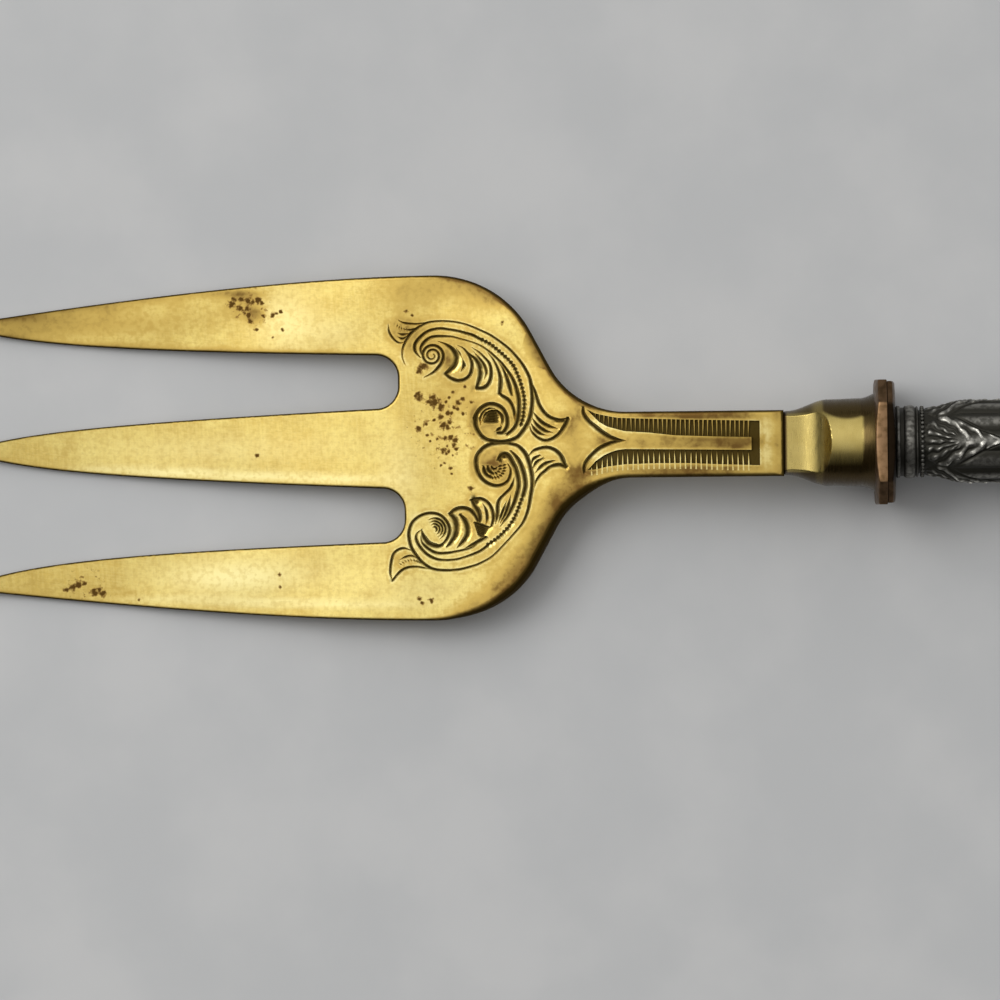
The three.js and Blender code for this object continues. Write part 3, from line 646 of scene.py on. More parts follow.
def half_outline(palm_half, slot_root, slot_inner, slot_outer, outer_tip):
    """One half of the outline, from the neck's end to the tip of the middle tine."""
    root, tip = slot_root - SLOT_ROUND, TIP + TIP_ROUND
    turn = math.degrees(SHOULDER_TURN)
    hollow = arc((NECK_FRONT, NECK_HALF + HOLLOW_RADIUS), HOLLOW_RADIUS, -90, -90 - turn)
    round_y = palm_half - ROUND_RADIUS
    climb = round_y + ROUND_RADIUS * math.cos(SHOULDER_TURN) - hollow[-1, 1]
    round_x = hollow[-1, 0] - climb / math.tan(SHOULDER_TURN) - ROUND_RADIUS * math.sin(SHOULDER_TURN)
    bend = outer_tip - TIP_ROUND - slot_outer

    def along(share):
        return root + share * (tip - root)

    return np.vstack([
        bezier((NECK_END, 0), (NECK_END, NECK_HALF)),
        bezier((NECK_END, NECK_HALF), (NECK_FRONT, NECK_HALF)),
        hollow,
        arc((round_x, round_y), ROUND_RADIUS, 90 - turn, 90),
        bezier((round_x, palm_half), (along(0.28), palm_half), (tip, outer_tip + TIP_ROUND)),
        arc((tip, outer_tip), TIP_ROUND, 90, 270),
        bezier((tip, outer_tip - TIP_ROUND), (along(0.84), slot_outer + 0.36 * bend),
               (along(0.5), slot_outer + 0.18 * bend), (root, slot_outer)),
        arc((root, slot_outer - SLOT_ROUND), SLOT_ROUND, 90, 0),
        arc((root, slot_inner + SLOT_ROUND), SLOT_ROUND, 0, -90),
        bezier((root, slot_inner), (along(0.65), 0.7 * slot_inner),
               (along(0.86), 0.5 * slot_inner), (tip, TIP_ROUND)),
        arc((tip, 0), TIP_ROUND, 90, 180),
    ])


def inset(loop, distance):
    """A counter-clockwise loop moved inwards, square to its own line."""
    ahead = np.roll(loop, -1, axis=0) - loop
    ahead /= np.linalg.norm(ahead, axis=1)[:, None]
    middle = ahead + np.roll(ahead, 1, axis=0)
    middle /= np.linalg.norm(middle, axis=1)[:, None]
    inwards = np.column_stack([-middle[:, 1], middle[:, 0]])
    slant = np.maximum(np.einsum("ij,ij->i", middle, ahead), 0.6)
    return loop + inwards * (np.broadcast_to(distance, len(loop)) / slant)[:, None]


def shoulder_roll(x, y):
    """How far the edge of a shoulder is rolled out and down."""
    return np.where(y < 0, LOWER_ROLL, UPPER_ROLL) * eased(x, *ROLL_STARTS) * eased(x, *ROLL_ENDS)


def on_shoulder(x):
    """1 along the shoulders and 0 on the tines and the neck."""
    return eased(x, *SHOULDER_STARTS) * eased(x, *SHOULDER_ENDS)


upper_half = half_outline(
    palm_half=28.6, slot_root=-81.0, slot_inner=6.45, slot_outer=15.35, outer_tip=20.9)
lower_half = half_outline(
    palm_half=29.0, slot_root=-80.1, slot_inner=6.9, slot_outer=15.85, outer_tip=22.6)
OUTLINE = np.vstack([upper_half, lower_half[::-1] * (1, -1)])
OUTLINE = OUTLINE[np.linalg.norm(OUTLINE - np.roll(OUTLINE, 1, axis=0), axis=1) > SAME_POINT]
OUTLINE = inset(OUTLINE, -shoulder_roll(*OUTLINE.T))
print("outline points", len(OUTLINE), "span", np.ptp(OUTLINE, axis=0).round(2))

# %% [markdown]
# ## The blade from the side
# The tines rest on their bellies, the palm rises gently and the neck runs level into the bolster. Two
# functions of the place along the fork give the underside and the upper face. Hand work is never quite
# flat, so the upper face also has a slow ripple, too small to see as a shape but enough to break up the
# reflection.

# %% Upper face and underside
BELLY = -135.46
TIP_RISE = 0.9
NECK_UNDERSIDE = 7.6
NECK_LEVEL_START = -30.8
PALM_THICKNESS = 2.3
NECK_THICKNESS = 5.6
TIP_THINNING = 1.2
RIPPLE = 0.045


def underside(x):
    """Height of the blade's lower face."""
    tip_part = TIP_RISE * ((BELLY - np.minimum(x, BELLY)) / (BELLY - TIP)) ** 2
    return tip_part + NECK_UNDERSIDE * eased(x, BELLY, NECK_LEVEL_START)


def thickness(x):
    """Thickness of the blade."""
    thinning = TIP_THINNING * np.clip((SLOT_ROOT - x) / (SLOT_ROOT - TIP), 0, 1)
    return PALM_THICKNESS + (NECK_THICKNESS - PALM_THICKNESS) * eased(x, PALM_CORNER, NECK_END) - thinning


def upper_face(x, y):
    """Height of the blade's upper face, with the ripple of hand work."""
    slow = np.sin(x / 4.7 + 1.3 * np.sin(y / 6.1)) * np.sin(y / 4.9 + 0.7)
    quick = 0.4 * np.sin(x / 2.3 + y / 3.1)
    return underside(x) + thickness(x) + RIPPLE * (slow + quick - 1.4)


for part, x in (("palm", -80.0), ("neck", -25.0)):
    print("height of the", part, round(float(upper_face(x, 0.0)), 2), "mm")

# %% [markdown]
# ## Graver cuts
# The scrolls are cut with a graver: each line is a V that swells and tapers as the tool is pushed deeper
# and lifted. A cut is a short list of points with a few widths along it. A smooth curve runs
# through the points, and its depth follows its width, so wide strokes are also deep ones. The ornament
# below is a list of named strokes: each says which tool makes it, the photo pixels it follows, and the
# sizes that the tool asks for, in pixels.

# %% Cut helper
CUT_STEP = 0.3
CUT_SLOPE = 0.8
V_SPREAD = 1.15  # a V is wider than the dark line in its middle
ROPE_PITCH = 3.9  # in photo pixels, like the width of the rope's waists
ROPE_WAIST = 2.1
ROPE_SHARES = (0.0, 0.3, 0.7, 1.0)
TICK_END = 0.3
TICK_STEP = 0.25
FINE_CUT_STEP = 0.2
CURVE_PARTS = 12
VOLUTE_POINTS = 14  # for each turn
CUTS = []


def through(points, step):
    """A smooth curve through points, in even steps."""
    p = np.asarray(points, float)
    held = np.vstack([2 * p[0] - p[1], p, 2 * p[-1] - p[-2]])
    t = np.linspace(0, 1, CURVE_PARTS, endpoint=False)[:, None]
    spans = []
    for a, b, c, d in zip(held, held[1:], held[2:], held[3:]):
        spans.append(b + 0.5 * t * (c - a + t * (2 * a - 5 * b + 4 * c - d + t * (3 * (b - c) + d - a))))
    dense = np.vstack([*spans, p[-1:]])
    run = np.concatenate([[0], np.cumsum(np.linalg.norm(np.diff(dense, axis=0), axis=1))])
    even = np.linspace(0, run[-1], max(4, int(run[-1] / step) + 1))
    return np.column_stack([np.interp(even, run, dense[:, k]) for k in range(2)])


def cut(pixels, *widths, step=CUT_STEP):
    """Adds a graver cut along photo pixels; the widths of its dark line are spread evenly along it."""
    line = through(on_fork(pixels), step)
    place = np.linspace(0, 1, len(line))
    half = V_SPREAD * np.interp(place, np.linspace(0, 1, len(widths)), widths) / (2 * PIXELS_PER_MM)
    CUTS.append((line, half))


def fine_cut(pixels, *widths):
    """A cut in finer steps, for tight curls."""
    cut(pixels, *widths, step=FINE_CUT_STEP)


def hatch(first_and_last, count, *widths):
    """Cuts side by side, from a first row of photo pixels to a last one."""
    first, last = np.asarray(first_and_last, float)
    for share in np.linspace(0, 1, count):
        cut(first + share * (last - first), *widths)


def volute(middle, outer, inner, start, turns):
    """Photo pixels along a spiral from its outer to its inner end; start in degrees, turns clockwise."""
    share = np.linspace(0, 1, int(VOLUTE_POINTS * abs(turns)) + 2)
    angle = math.radians(start) + 2 * math.pi * turns * share
    radius = outer + (inner - outer) * share
    return list(zip(middle[0] + radius * np.cos(angle), middle[1] + radius * np.sin(angle)))


def nested_arcs(middle, radii, start, turns, *widths):
    """Fine arcs about one middle, one inside the other."""
    for radius in radii:
        fine_cut(volute(middle, radius, radius, start, turns), *widths)


def ticks(pixels, pitch, length, width):
    """Short cuts across a line of photo pixels."""
    line = through(pixels, pitch)
    ahead = np.gradient(line, axis=0)
    ahead /= np.linalg.norm(ahead, axis=1)[:, None]
    for at, way in zip(line, ahead):
        side = np.array([-way[1], way[0]]) * length / 2
        lean = way * length / 5
        cut([at - side - lean, at, at + side + lean], TICK_END, width, TICK_END, step=TICK_STEP)


def rope(pixels, width):
    """Short stout cuts end to end along photo pixels, like the twist of a rope."""
    line = through(pixels, ROPE_PITCH)
    for a, b in zip(line, line[1:]):
        fine_cut([a + share * (b - a) for share in ROPE_SHARES], ROPE_WAIST, width, width, ROPE_WAIST)


def engrave(strokes):
    """Makes named strokes one after the other."""
    for tool, pixels, *sizes in strokes.values():
        tool(pixels, *sizes)


print("cuts fall", CUT_SLOPE, "mm for each mm of half width")

# %% [markdown]
# ### The upper scroll
# A double C-scroll fills the palm. The upper half runs from a small volute by the slot, over the back of
# three long parallel lines, into an eye in the middle of the palm. Acanthus lobes hang inside the curve and
# a leaf grows at each end of it.

# %% Upper scroll
UPPER_VOLUTE = (433.5, 355.5)
UPPER_SCROLL = {
    "outer line": (cut, [
        (406.2, 364.2), (403.9, 358), (403.7, 352), (404.8, 346.4), (408, 339.6), (412.6, 333.2),
        (420, 327.3), (428.6, 322.8), (438, 321.2), (450, 321.2), (460, 322.5), (470.7, 325.4),
        (483.2, 330.8), (493.1, 335.7), (508, 346.5), (516.3, 354.8), (523, 363.1), (527.9, 371.4),
        (531.3, 379.7), (533.2, 394), (532.9, 406.2), (529.6, 421.1), (520.5, 435.2), (513, 440),
        (503.9, 442), (494.8, 441.5), (487.3, 439.8), (481.8, 435.8), (478.2, 430.5), (476.2, 425),
        (476.6, 418.5), (478.4, 413.2), (481.8, 408.8), (486.6, 405.6), (492, 404.2), (498.2, 405.4),
        (503.6, 409), (507, 415), (508.2, 421), (507.6, 427), (503.5, 432.8), (498.2, 432.8)
    ], 1.2, 3.2, 2.4, 2.2, 2.6, 3, 3.8, 4.4, 4.6, 4.4, 5, 4.4, 3.6),
    "second line": (cut, [
        (421.7, 357.4), (417.1, 352.2), (416, 347.6), (417.1, 343), (420.6, 338.4), (426.3, 333.2),
        (433.2, 329.8), (442.4, 328.4), (451, 329.5), (459.6, 330.9), (468, 333.2), (474.9, 335.3),
        (482, 339.2)
    ], 1.4, 3.6, 3.6, 3.2, 3, 2.8, 2.8, 3.2, 3.2),
    "ticks on the second line": (ticks, [
        (463, 331.8), (468, 333.2), (474.9, 335.3), (483, 339.8)
    ], 3.2, 4.2, 2.0),
    "rope": (rope, [
        (482, 339.2), (491.5, 344), (499.8, 350.7), (508, 358.1), (514.7, 365.6), (518.8, 374.7),
        (522.1, 383.8), (524.6, 393.8), (525.5, 402.1), (525, 410.4), (523.8, 418.6), (521.2, 426)
    ], 4.4),
    "third line": (cut, [
        (424.6, 356.8), (422.3, 351.6), (422.3, 347.6), (424.6, 343.6), (428.6, 339.6), (434.4, 336.7),
        (442.4, 336.1), (453.9, 336.7), (462.5, 339), (470.7, 341.1), (480.7, 344.9), (489.8, 350.7),
        (496.4, 356.5), (503, 363.1), (508, 369.7), (513, 377.2), (516.3, 384.7), (518.8, 393.8),
        (520, 402.1), (519.7, 412.8), (518, 422), (514.7, 428.6), (508, 434.4)
    ], 1.5, 3.6, 3, 2.2, 1.8, 2, 2.6, 3, 3.6, 4.2, 4.4, 4.2, 3.4),
    "volute by the slot": (fine_cut, [
        (425.2, 377.4), (430.9, 374.6), (436.7, 370.6), (441.8, 364.8),
        *volute(UPPER_VOLUTE, 11.6, 2, 25, -2.2)
    ], 1.2, 3.8, 3.2, 3, 2.8, 2.8, 2.6, 1.6),
    "first lobe, back": (cut, [
        (440.1, 341.3), (447, 344.1), (453.3, 348.7), (457.3, 354.5), (457.9, 359.6), (456.2, 365.4),
        (452.2, 370), (447, 374)
    ], 0.8, 2.6, 4.4, 6, 6.6, 6, 4),
    "first lobe, front": (cut, [
        (447, 374.3), (451.6, 378), (458.5, 380.7), (465.4, 379.7), (471.1, 375.1), (473.4, 367.1),
        (472.8, 360.8), (470, 354.5), (464.8, 348.2), (459, 345)
    ], 3, 4, 4, 3.6, 3.6, 3.2, 2.4, 0.6),
    "first lobe, shade": (cut, [(464.2, 359.6), (465.4, 365.4), (462.5, 371.1)], 1, 4, 1),
    "first lobe, vein": (cut, [(457.8, 348), (461.6, 354), (463.7, 358.1)], 0.6, 2, 0.6),
    "second lobe, back": (cut, [
        (464.9, 348.2), (471.6, 354.8), (477.4, 359.8), (480.7, 366.4), (481.9, 373), (480.7, 379.7),
        (478, 387)
    ], 0.8, 2.2, 3.6, 4.8, 5.4, 5, 3),
    "second lobe, front": (cut, [
        (477.4, 388.4), (484.8, 388), (489.8, 383.8), (492.3, 376.4), (492.3, 368.9), (490.6, 363.1),
        (486.5, 358.1), (480.7, 352.3), (473, 347)
    ], 3.4, 4.6, 4, 3.6, 3.2, 2.6, 2, 0.6),
    "second lobe, vein": (cut, [
        (475.7, 352.3), (483.2, 361.4), (486.5, 367.2), (487.7, 373), (485.7, 379)
    ], 0.6, 2.6, 3.4, 3.2, 0.8),
    "third lobe, back": (cut, [
        (489, 352.3), (494.8, 359.8), (498.9, 368.1), (501.4, 376.4), (501.8, 383.8), (500.6, 393.8)
    ], 0.6, 2.2, 2.8, 3.8, 5, 3.6),
    "third lobe, front": (cut, [
        (500.4, 393.4), (503.9, 396.3), (509.7, 400.4), (513, 405.4), (515.1, 412), (515.5, 421)
    ], 3, 4.2, 4, 3.4, 3, 0.8),
    "third lobe, vein": (cut, [
        (499.8, 361.4), (504.7, 368.9), (508, 378), (510.5, 386.3), (512.6, 394.5)
    ], 0.6, 2.8, 3.6, 4.6, 2.6),
    "eye, curl": (cut, [
        (483.2, 421), (485.7, 415.3), (490.6, 411.2), (497.3, 411), (501.4, 414.5), (503, 420.5),
        (501.5, 426)
    ], 0.8, 2.8, 3.2, 3.2, 2.6, 0.8),
    "eye, hatching": (hatch, [
        [(485.5, 422), (492, 421.5), (498.5, 422)],
        [(488.5, 412.4), (492, 411.9), (498.5, 412.4)]
    ], 7, 2, 5, 2),
    "end of the curl": (cut, [(496.5, 431), (499.5, 429.5), (502, 427)], 1, 5, 1.5),
    "eye, inner ring": (cut, [
        (481.4, 424.5), (481, 418), (484.6, 411.6), (490.5, 408.6), (496, 408.8)
    ], 0.8, 2.6, 2.6, 2.8, 1),
    "eye, right of the curl": (cut, [
        (500.5, 411.5), (503.2, 416), (503.6, 421), (502.4, 425.5)
    ], 1.2, 2.8, 2.6, 0.8),
    "eye, outside": (cut, [(475, 424), (474.6, 418), (476.4, 412)], 0.6, 2.6, 0.6),
}
engrave(UPPER_SCROLL)
print("cuts in the upper scroll:", len(CUTS))

# %% [markdown]
# ### Leaves of the upper scroll
# A fat three-veined leaf springs from the scroll towards the neck, and a thin one curls back over the slot.
# Their edges are the deepest strokes, because the engraver leaned on the tool there. The veins are short
# and start from nothing.

# %% Leaves of the upper scroll
UPPER_LEAVES = {
    "right leaf, back": (cut, [
        (531.7, 380.5), (535.4, 389.6), (537.9, 397.9), (540.4, 405.4), (545, 412.5), (551, 417.5),
        (560, 420), (568.7, 418.3)
    ], 0.8, 3, 3.8, 4, 4, 3.6, 1.5),
    "right leaf, front": (cut, [
        (568.7, 418.5), (566, 425), (560, 433.7), (552.5, 439), (545, 440.6), (537.5, 437), (532, 431),
        (530.6, 426)
    ], 4, 4.4, 3.8, 3.6, 3.4, 3, 0.8),
    "right leaf, tip": (cut, [(557, 421), (564, 421)], 4, 3),
    "right leaf, first vein": (cut, [(534, 412), (541, 421), (548.7, 426), (558, 428.5)], 0.8, 4, 4.2, 1),
    "right leaf, second vein": (cut, [(533, 418), (538.7, 426), (546, 431), (553, 432.5)], 0.8, 3.8, 4, 1),
    "right leaf, third vein": (cut, [
        (532, 423.7), (536, 430), (541, 433.7), (546.5, 435.3)
    ], 0.8, 3.6, 3.6, 1),
    "left leaf, upper edge": (cut, [
        (400.5, 320.3), (405.1, 322.6), (413.7, 323.8), (422.3, 323.5), (430, 321.8)
    ], 1, 2.6, 2.4, 2, 0.8),
    "left leaf, lower edge": (cut, [
        (389.9, 324.6), (390.5, 330.9), (393, 336.1), (397.1, 340.7), (401.6, 343), (406, 341.8)
    ], 0.8, 2.4, 2.6, 2.4, 0.8),
    "left leaf, first vein": (cut, [
        (406.2, 329.2), (410.8, 329.8), (416, 329.2), (421.2, 327.5)
    ], 0.8, 2.2, 2.8, 1),
    "left leaf, ticks": (ticks, [
        (398.8, 325.8), (402.2, 328.1), (406.2, 329.2), (411, 329.8)
    ], 2.6, 3.4, 1.8),
    "left leaf, second vein": (cut, [(399.4, 332.7), (403.4, 334.4), (409.1, 333.8)], 0.8, 3, 1.4),
    "left leaf, third vein": (cut, [(399.4, 336.7), (403.9, 338.7), (408, 336.7)], 0.8, 3, 1.4),
}
engrave(UPPER_LEAVES)
print("cuts so far:", len(CUTS))

# %% [markdown]
# ### The lower scroll
# The lower half mirrors the upper one by eye, not by measure, so it has its own points. Its volute is
# larger and closed, its eye holds fine dotted arcs, and the graver left a dark pocket between two of its
# lobes.

# %% Lower scroll
LOWER_VOLUTE = (434, 529.5)
LOWER_EYE = (494.4, 467.3)
LOWER_EYE_MIDDLE = (494.8, 466.4)
LOWER_SCROLL = {
    "outer line": (cut, [
        (507.5, 443.2), (516.9, 445.4), (522.2, 449.4), (526.3, 454.8), (528.9, 461.5), (531, 469.5),
        (532.3, 477.5), (532.3, 486.2), (530.9, 495), (527.9, 510.3), (522.8, 522.6), (514.6, 532.8),
        (503.4, 545), (492.1, 556.2), (481.9, 562.3), (471.7, 566.4), (456.4, 570), (442.1, 570.5),
        (431.9, 569), (423.8, 564.4), (417.7, 558.3), (411.5, 549.1), (409, 540.9), (408.5, 532.8),
        (411.5, 523.6), (417.7, 517.4), (425.8, 513.9), (433, 513.4), (440.1, 515.4), (446.2, 521.5),
        (449.3, 529.7), (447.2, 537.9), (442.1, 544), (436, 545.8)
    ], 3, 4.6, 4.6, 4, 3.2, 2.4, 2.2, 2.4, 2.8, 3, 3.4, 3.6, 3.6, 3.4, 3.4, 3.8, 1.8),
    "eye, ring": (cut, [
        (507.5, 443), (496.8, 443.4), (488.8, 445.4), (482.1, 450.1), (477.4, 456.8), (476.4, 464.1),
        (478, 472.2), (482.1, 478.9), (488.1, 483.6), (495.5, 485.9), (502.1, 484.9), (507.5, 481.5),
        (510.2, 476.2), (510.9, 469.5), (508.3, 464)
    ], 3, 4.4, 4.8, 4.8, 4.6, 4.4, 4, 3.4, 3, 1.2),
    "third line": (cut, [
        (500.5, 460.5), (501.5, 456), (505.5, 454.1), (509.5, 456.8), (512.9, 462.8), (516.2, 469.5),
        (518.2, 477.5), (518.9, 486.2), (516.9, 494.9), (513, 506), (507, 517), (500, 526.5)
    ], 4, 5.4, 5, 4.4, 4.4, 4, 3.4, 1),
    "end of the curl": (cut, [(498.5, 459.5), (502, 456.5), (505.5, 457.5)], 3, 6.5, 3),
    "second line": (cut, [
        (510.9, 450.7), (515.5, 455.4), (519.6, 461.5), (522.9, 469.5), (524.9, 477.5), (525.6, 486.2),
        (523.6, 495)
    ], 2, 4.6, 5.2, 4.8, 4.4),
    "rope": (rope, [
        (523.9, 494), (519.7, 505.2), (515.6, 515.4), (510.5, 524.6), (503.4, 532.8), (495.2, 539.9),
        (486, 546)
    ], 4.6),
    "second line, lower part": (cut, [
        (486.5, 546.3), (479.9, 551.1), (472.8, 554.2), (464.6, 557.2), (454.4, 559.8), (442.1, 560.3),
        (433, 558.3), (424.8, 553.2), (418.7, 546), (415.6, 538.9), (416.6, 533.8), (420.2, 530.7)
    ], 3, 3, 2.6, 2.6, 2.8, 3.4, 3.6, 3.4, 1.4),
    "third line, lower part": (cut, [
        (420.2, 536.8), (421.7, 543), (427.9, 549.1), (436, 553.2), (446.2, 553.2), (456.4, 551.6),
        (466.6, 549.1), (473.8, 546), (480.9, 539.9)
    ], 0.8, 3.2, 3.6, 3.2, 2.8, 2.6, 2.4, 0.8),
    "volute, inner edge": (cut, [
        (421.2, 530.7), (423.8, 537.9), (428.9, 544), (437, 546.5), (443, 545)
    ], 1.5, 5, 5.4, 5.4, 2),
    "volute, rings": (nested_arcs, LOWER_VOLUTE, (11, 8.2, 5.4, 2.6), -120, 0.5, 1, 3, 3.2, 2.8, 0.8),
    "eye, outer arc": (cut, volute(LOWER_EYE, 10.6, 10.6, 184, -0.21), 2, 4.6, 4.6, 3),
    "eye, outer dots": (ticks, volute(LOWER_EYE, 10.6, 10.6, 100, -0.31), 2.9, 4.2, 3.2),
    "eye, inner arc": (cut, volute(LOWER_EYE, 6.3, 6.3, 184, -0.21), 2, 4.6, 4.6, 3),
    "eye, inner dots": (ticks, volute(LOWER_EYE, 6.3, 6.3, 100, -0.31), 2.9, 4.2, 3.2),
    "eye, middle": (cut, volute(LOWER_EYE_MIDDLE, 3, 2.6, 190, -0.5), 1.2, 3, 2.6, 1),
    "first lobe, back": (cut, [
        (450.3, 514.4), (454.4, 519.5), (456.4, 526.6), (455.4, 534.8), (451.3, 541.9), (446.2, 547)
    ], 4, 7.4, 7.8, 7.2, 5, 2),
    "first lobe, front": (cut, [
        (449.8, 514.4), (455.4, 509.8), (462.6, 508.3), (469.7, 510.3), (474.8, 515.4), (477.9, 521.5)
    ], 4, 4.6, 4.6, 4.4, 3),
    "first lobe, vein": (cut, [
        (460.5, 515.4), (465.1, 521.5), (467.1, 527.7), (467.1, 534.8), (463.6, 540.9), (456.4, 548)
    ], 3, 5.8, 6.4, 6.2, 4.6, 1),
    "root of the second lobe": (cut, [(474, 498.6), (476.5, 502)], 5, 7),
    "under the pocket": (cut, [(485, 537.5), (479, 541.2), (472.5, 544.5), (463.5, 549)], 4, 4.2, 3, 0.8),
    "second lobe, back": (cut, [
        (472.2, 501.1), (474.8, 506.2), (478.4, 512.3), (479.9, 519.5), (478.4, 524.6)
    ], 3.4, 5.6, 5.4, 4.4, 1),
    "second lobe, front": (cut, [
        (471.7, 500.6), (476.8, 498.9), (483, 499.6), (489.1, 504.2), (492.1, 510.3), (493.2, 518.5),
        (491.1, 526.6)
    ], 3.4, 3.8, 3.6, 3.6, 3.4, 2.4),
    "second lobe, vein": (cut, [
        (483, 504.2), (486, 510.3), (487, 518.5), (485.5, 525.6)
    ], 0.8, 3.2, 3.2, 0.8),
    "dark pocket": (hatch, [
        [(474, 522.5), (481.5, 526), (489, 527.5)],
        [(477.6, 533.9), (481.5, 536.2), (483.6, 535.9)]
    ], 7, 2, 5, 2),
    "third lobe, edge": (cut, [
        (514.3, 477.8), (513, 483), (510.3, 488.6), (505.3, 493.6), (499.6, 499.6), (497.6, 506),
        (497.3, 514), (495.4, 524)
    ], 0.8, 3, 3.2, 3, 3.8, 4, 3.4, 0.8),
    "third lobe, first vein": (cut, [(506, 502.5), (503.6, 509), (501, 516), (498, 523)], 0.8, 3, 3, 0.6),
    "third lobe, second vein": (cut, [
        (510.6, 496), (508.6, 504.5), (505.6, 513), (500, 523.5)
    ], 0.8, 3.4, 3.6, 0.8),
}
engrave(LOWER_SCROLL)
print("cuts so far:", len(CUTS))

# %% [markdown]
# ### Leaves of the lower scroll
# The lower leaves answer the upper ones. The right one is shorter and rounder, and the left one hangs down
# along the outside of the volute with a row of ticks on its vein.

# %% Leaves of the lower scroll
LOWER_LEAVES = {
    "right leaf, upper edge": (cut, [
        (529.6, 455.4), (534.3, 450.7), (541, 448.4), (548.4, 447.7), (555.1, 450.1), (560.4, 454.8),
        (563.8, 461.5), (566.4, 467.5)
    ], 1.4, 3.4, 3.8, 4, 4.4, 5, 3),
    "right leaf, lower edge": (cut, [
        (566.4, 467.1), (559.7, 465.1), (551.7, 466.5), (545.7, 470.8), (540.3, 475.5), (536.3, 481.5),
        (534.3, 488.2)
    ], 4.4, 4.4, 3.6, 3.2, 2.8, 0.8),
    "right leaf, first vein": (cut, [(531.6, 464.8), (534.3, 458.8), (540.3, 455.4)], 0.8, 3.8, 2),
    "right leaf, second vein": (cut, [(533, 468.8), (537, 462.1), (543, 458.8)], 0.8, 3.8, 2),
    "right leaf, third vein": (cut, [
        (535.5, 473), (541, 467), (546.5, 463.2), (554, 461)
    ], 0.8, 3.4, 3.6, 2),
    "left leaf, upper edge": (cut, [
        (411.5, 551), (403.7, 548.5), (397.5, 550), (392.5, 555), (390, 565), (389.5, 574), (391.5, 581)
    ], 0.8, 3, 3, 3, 2.8, 1.2),
    "left leaf, lower edge": (cut, [
        (391.5, 581), (398.7, 572.5), (406, 568), (415, 567), (422.5, 568), (433, 570)
    ], 2.4, 3.2, 2.8, 2.4, 0.6),
    "left leaf, vein": (cut, [(399, 560), (405, 557), (411, 556), (418, 559)], 0.6, 2.6, 2.4, 0.6),
    "left leaf, ticks": (ticks, [(400, 564.5), (405, 561.5), (412.5, 560.6), (419, 562.3)], 2.6, 3.2, 1.8),
    "left leaf, last stroke": (cut, [(412.5, 560.6), (422.5, 563.7), (431, 568.5)], 1, 2.6, 0.6),
}
engrave(LOWER_LEAVES)
length = sum(np.linalg.norm(np.diff(line, axis=0), axis=1).sum() for line, _ in CUTS)
print("cuts in both scrolls:", len(CUTS), "length", round(length), "mm")

# %% [markdown]
# ## The comb panel
# Two sunk rows run along the neck beside a plain bar. They meet in a groove at the bolster's end and part
# in a fish tail at the palm's end, where two cuts close the tail to a point. The rows are closed loops of
# listed points; their floors are part of the blade's upper face, and their teeth are a piece of their
# own.

# %% Comb panel
COMB_DEPTH = 0.5
COMB_WALL = 0.07  # how far a row's wall leans in
WALL_STEP = 0.35
UPPER_ROW_EDGE = [
    (587, 409), (596, 413.3), (606, 415.6), (619, 417.8), (645, 418.6), (680, 419.4), (757, 420.6)]
UPPER_ROW_BAR = [
    (757, 437.2), (717, 436.6), (675, 435.4), (651, 432.8), (625, 431.2), (608, 426.7), (600, 422.2)]
LOWER_ROW_BAR = [
    (588, 470), (596, 461.1), (604, 455.4), (611, 452.2), (618, 449.9), (626, 449), (757, 449.8)]
LOWER_ROW_EDGE = [
    (757, 465.2), (724, 464.4), (690, 463.2), (658, 463.2), (625, 464.4), (608, 466.6), (597, 469.4)]
END_GROOVE = [(751.8, 465.2), (760.2, 465.2), (760.2, 420.6), (751.8, 420.6)]
FISH_TAIL = {
    "upper side": (cut, [
        (584, 407.5), (584.5, 414), (589, 421), (595.4, 426.5), (601.8, 431.8), (609.4, 436.7),
        (616.5, 439.5), (625, 440.7)
    ], 2.5, 4.6, 4.6, 5, 5, 4.4, 1.5),
    "lower side": (cut, [
        (584.5, 472), (584.5, 467), (587.8, 460.5), (593.5, 454.1), (600.5, 448.4), (608.2, 444.6),
        (616.5, 441.6), (625, 440.7)
    ], 2.5, 4.4, 4.4, 4.6, 4.6, 4, 1.5),
}


def loop_through(pixels, step):
    """A closed loop of even steps along straight stretches between photo pixels."""
    corners = on_fork(pixels)
    sides = []
    for a, b in zip(corners, np.roll(corners, -1, axis=0)):
        count = max(1, round(np.linalg.norm(b - a) / step))
        sides.append(a + (b - a) * (np.arange(count) / count)[:, None])
    loop = np.vstack(sides)
    around = np.roll(loop, -1, axis=0)
    area = np.sum(loop[:, 0] * around[:, 1] - loop[:, 1] * around[:, 0]) / 2
    return loop if area > 0 else loop[::-1]


SUNK_LOOPS = [loop_through(pixels, WALL_STEP) for pixels in
              (UPPER_ROW_EDGE + UPPER_ROW_BAR, LOWER_ROW_BAR + LOWER_ROW_EDGE, END_GROOVE)]
engrave(FISH_TAIL)
print("sunk loops:", [len(loop) for loop in SUNK_LOOPS])

# %% [markdown]
# ## How deep a point lies
# The upper face is one sheet whose points are lowered by the deepest cut that covers them. A graver cut
# falls evenly from its edges to its middle; a sunk row has its full depth as soon as a point lies inside
# the leaning wall.

# %% Depth of the cuts
DEEPEST_CUT = 0.26
ENGRAVED_REACH = 1.5  # the finer points go this far beyond a cut
FAR_AWAY = 9.0  # stands for any greater distance
NO_LENGTH = 1e-12


def closed(loop):
    """A loop with its first point again at its end."""
    return np.vstack([loop, loop[:1]])


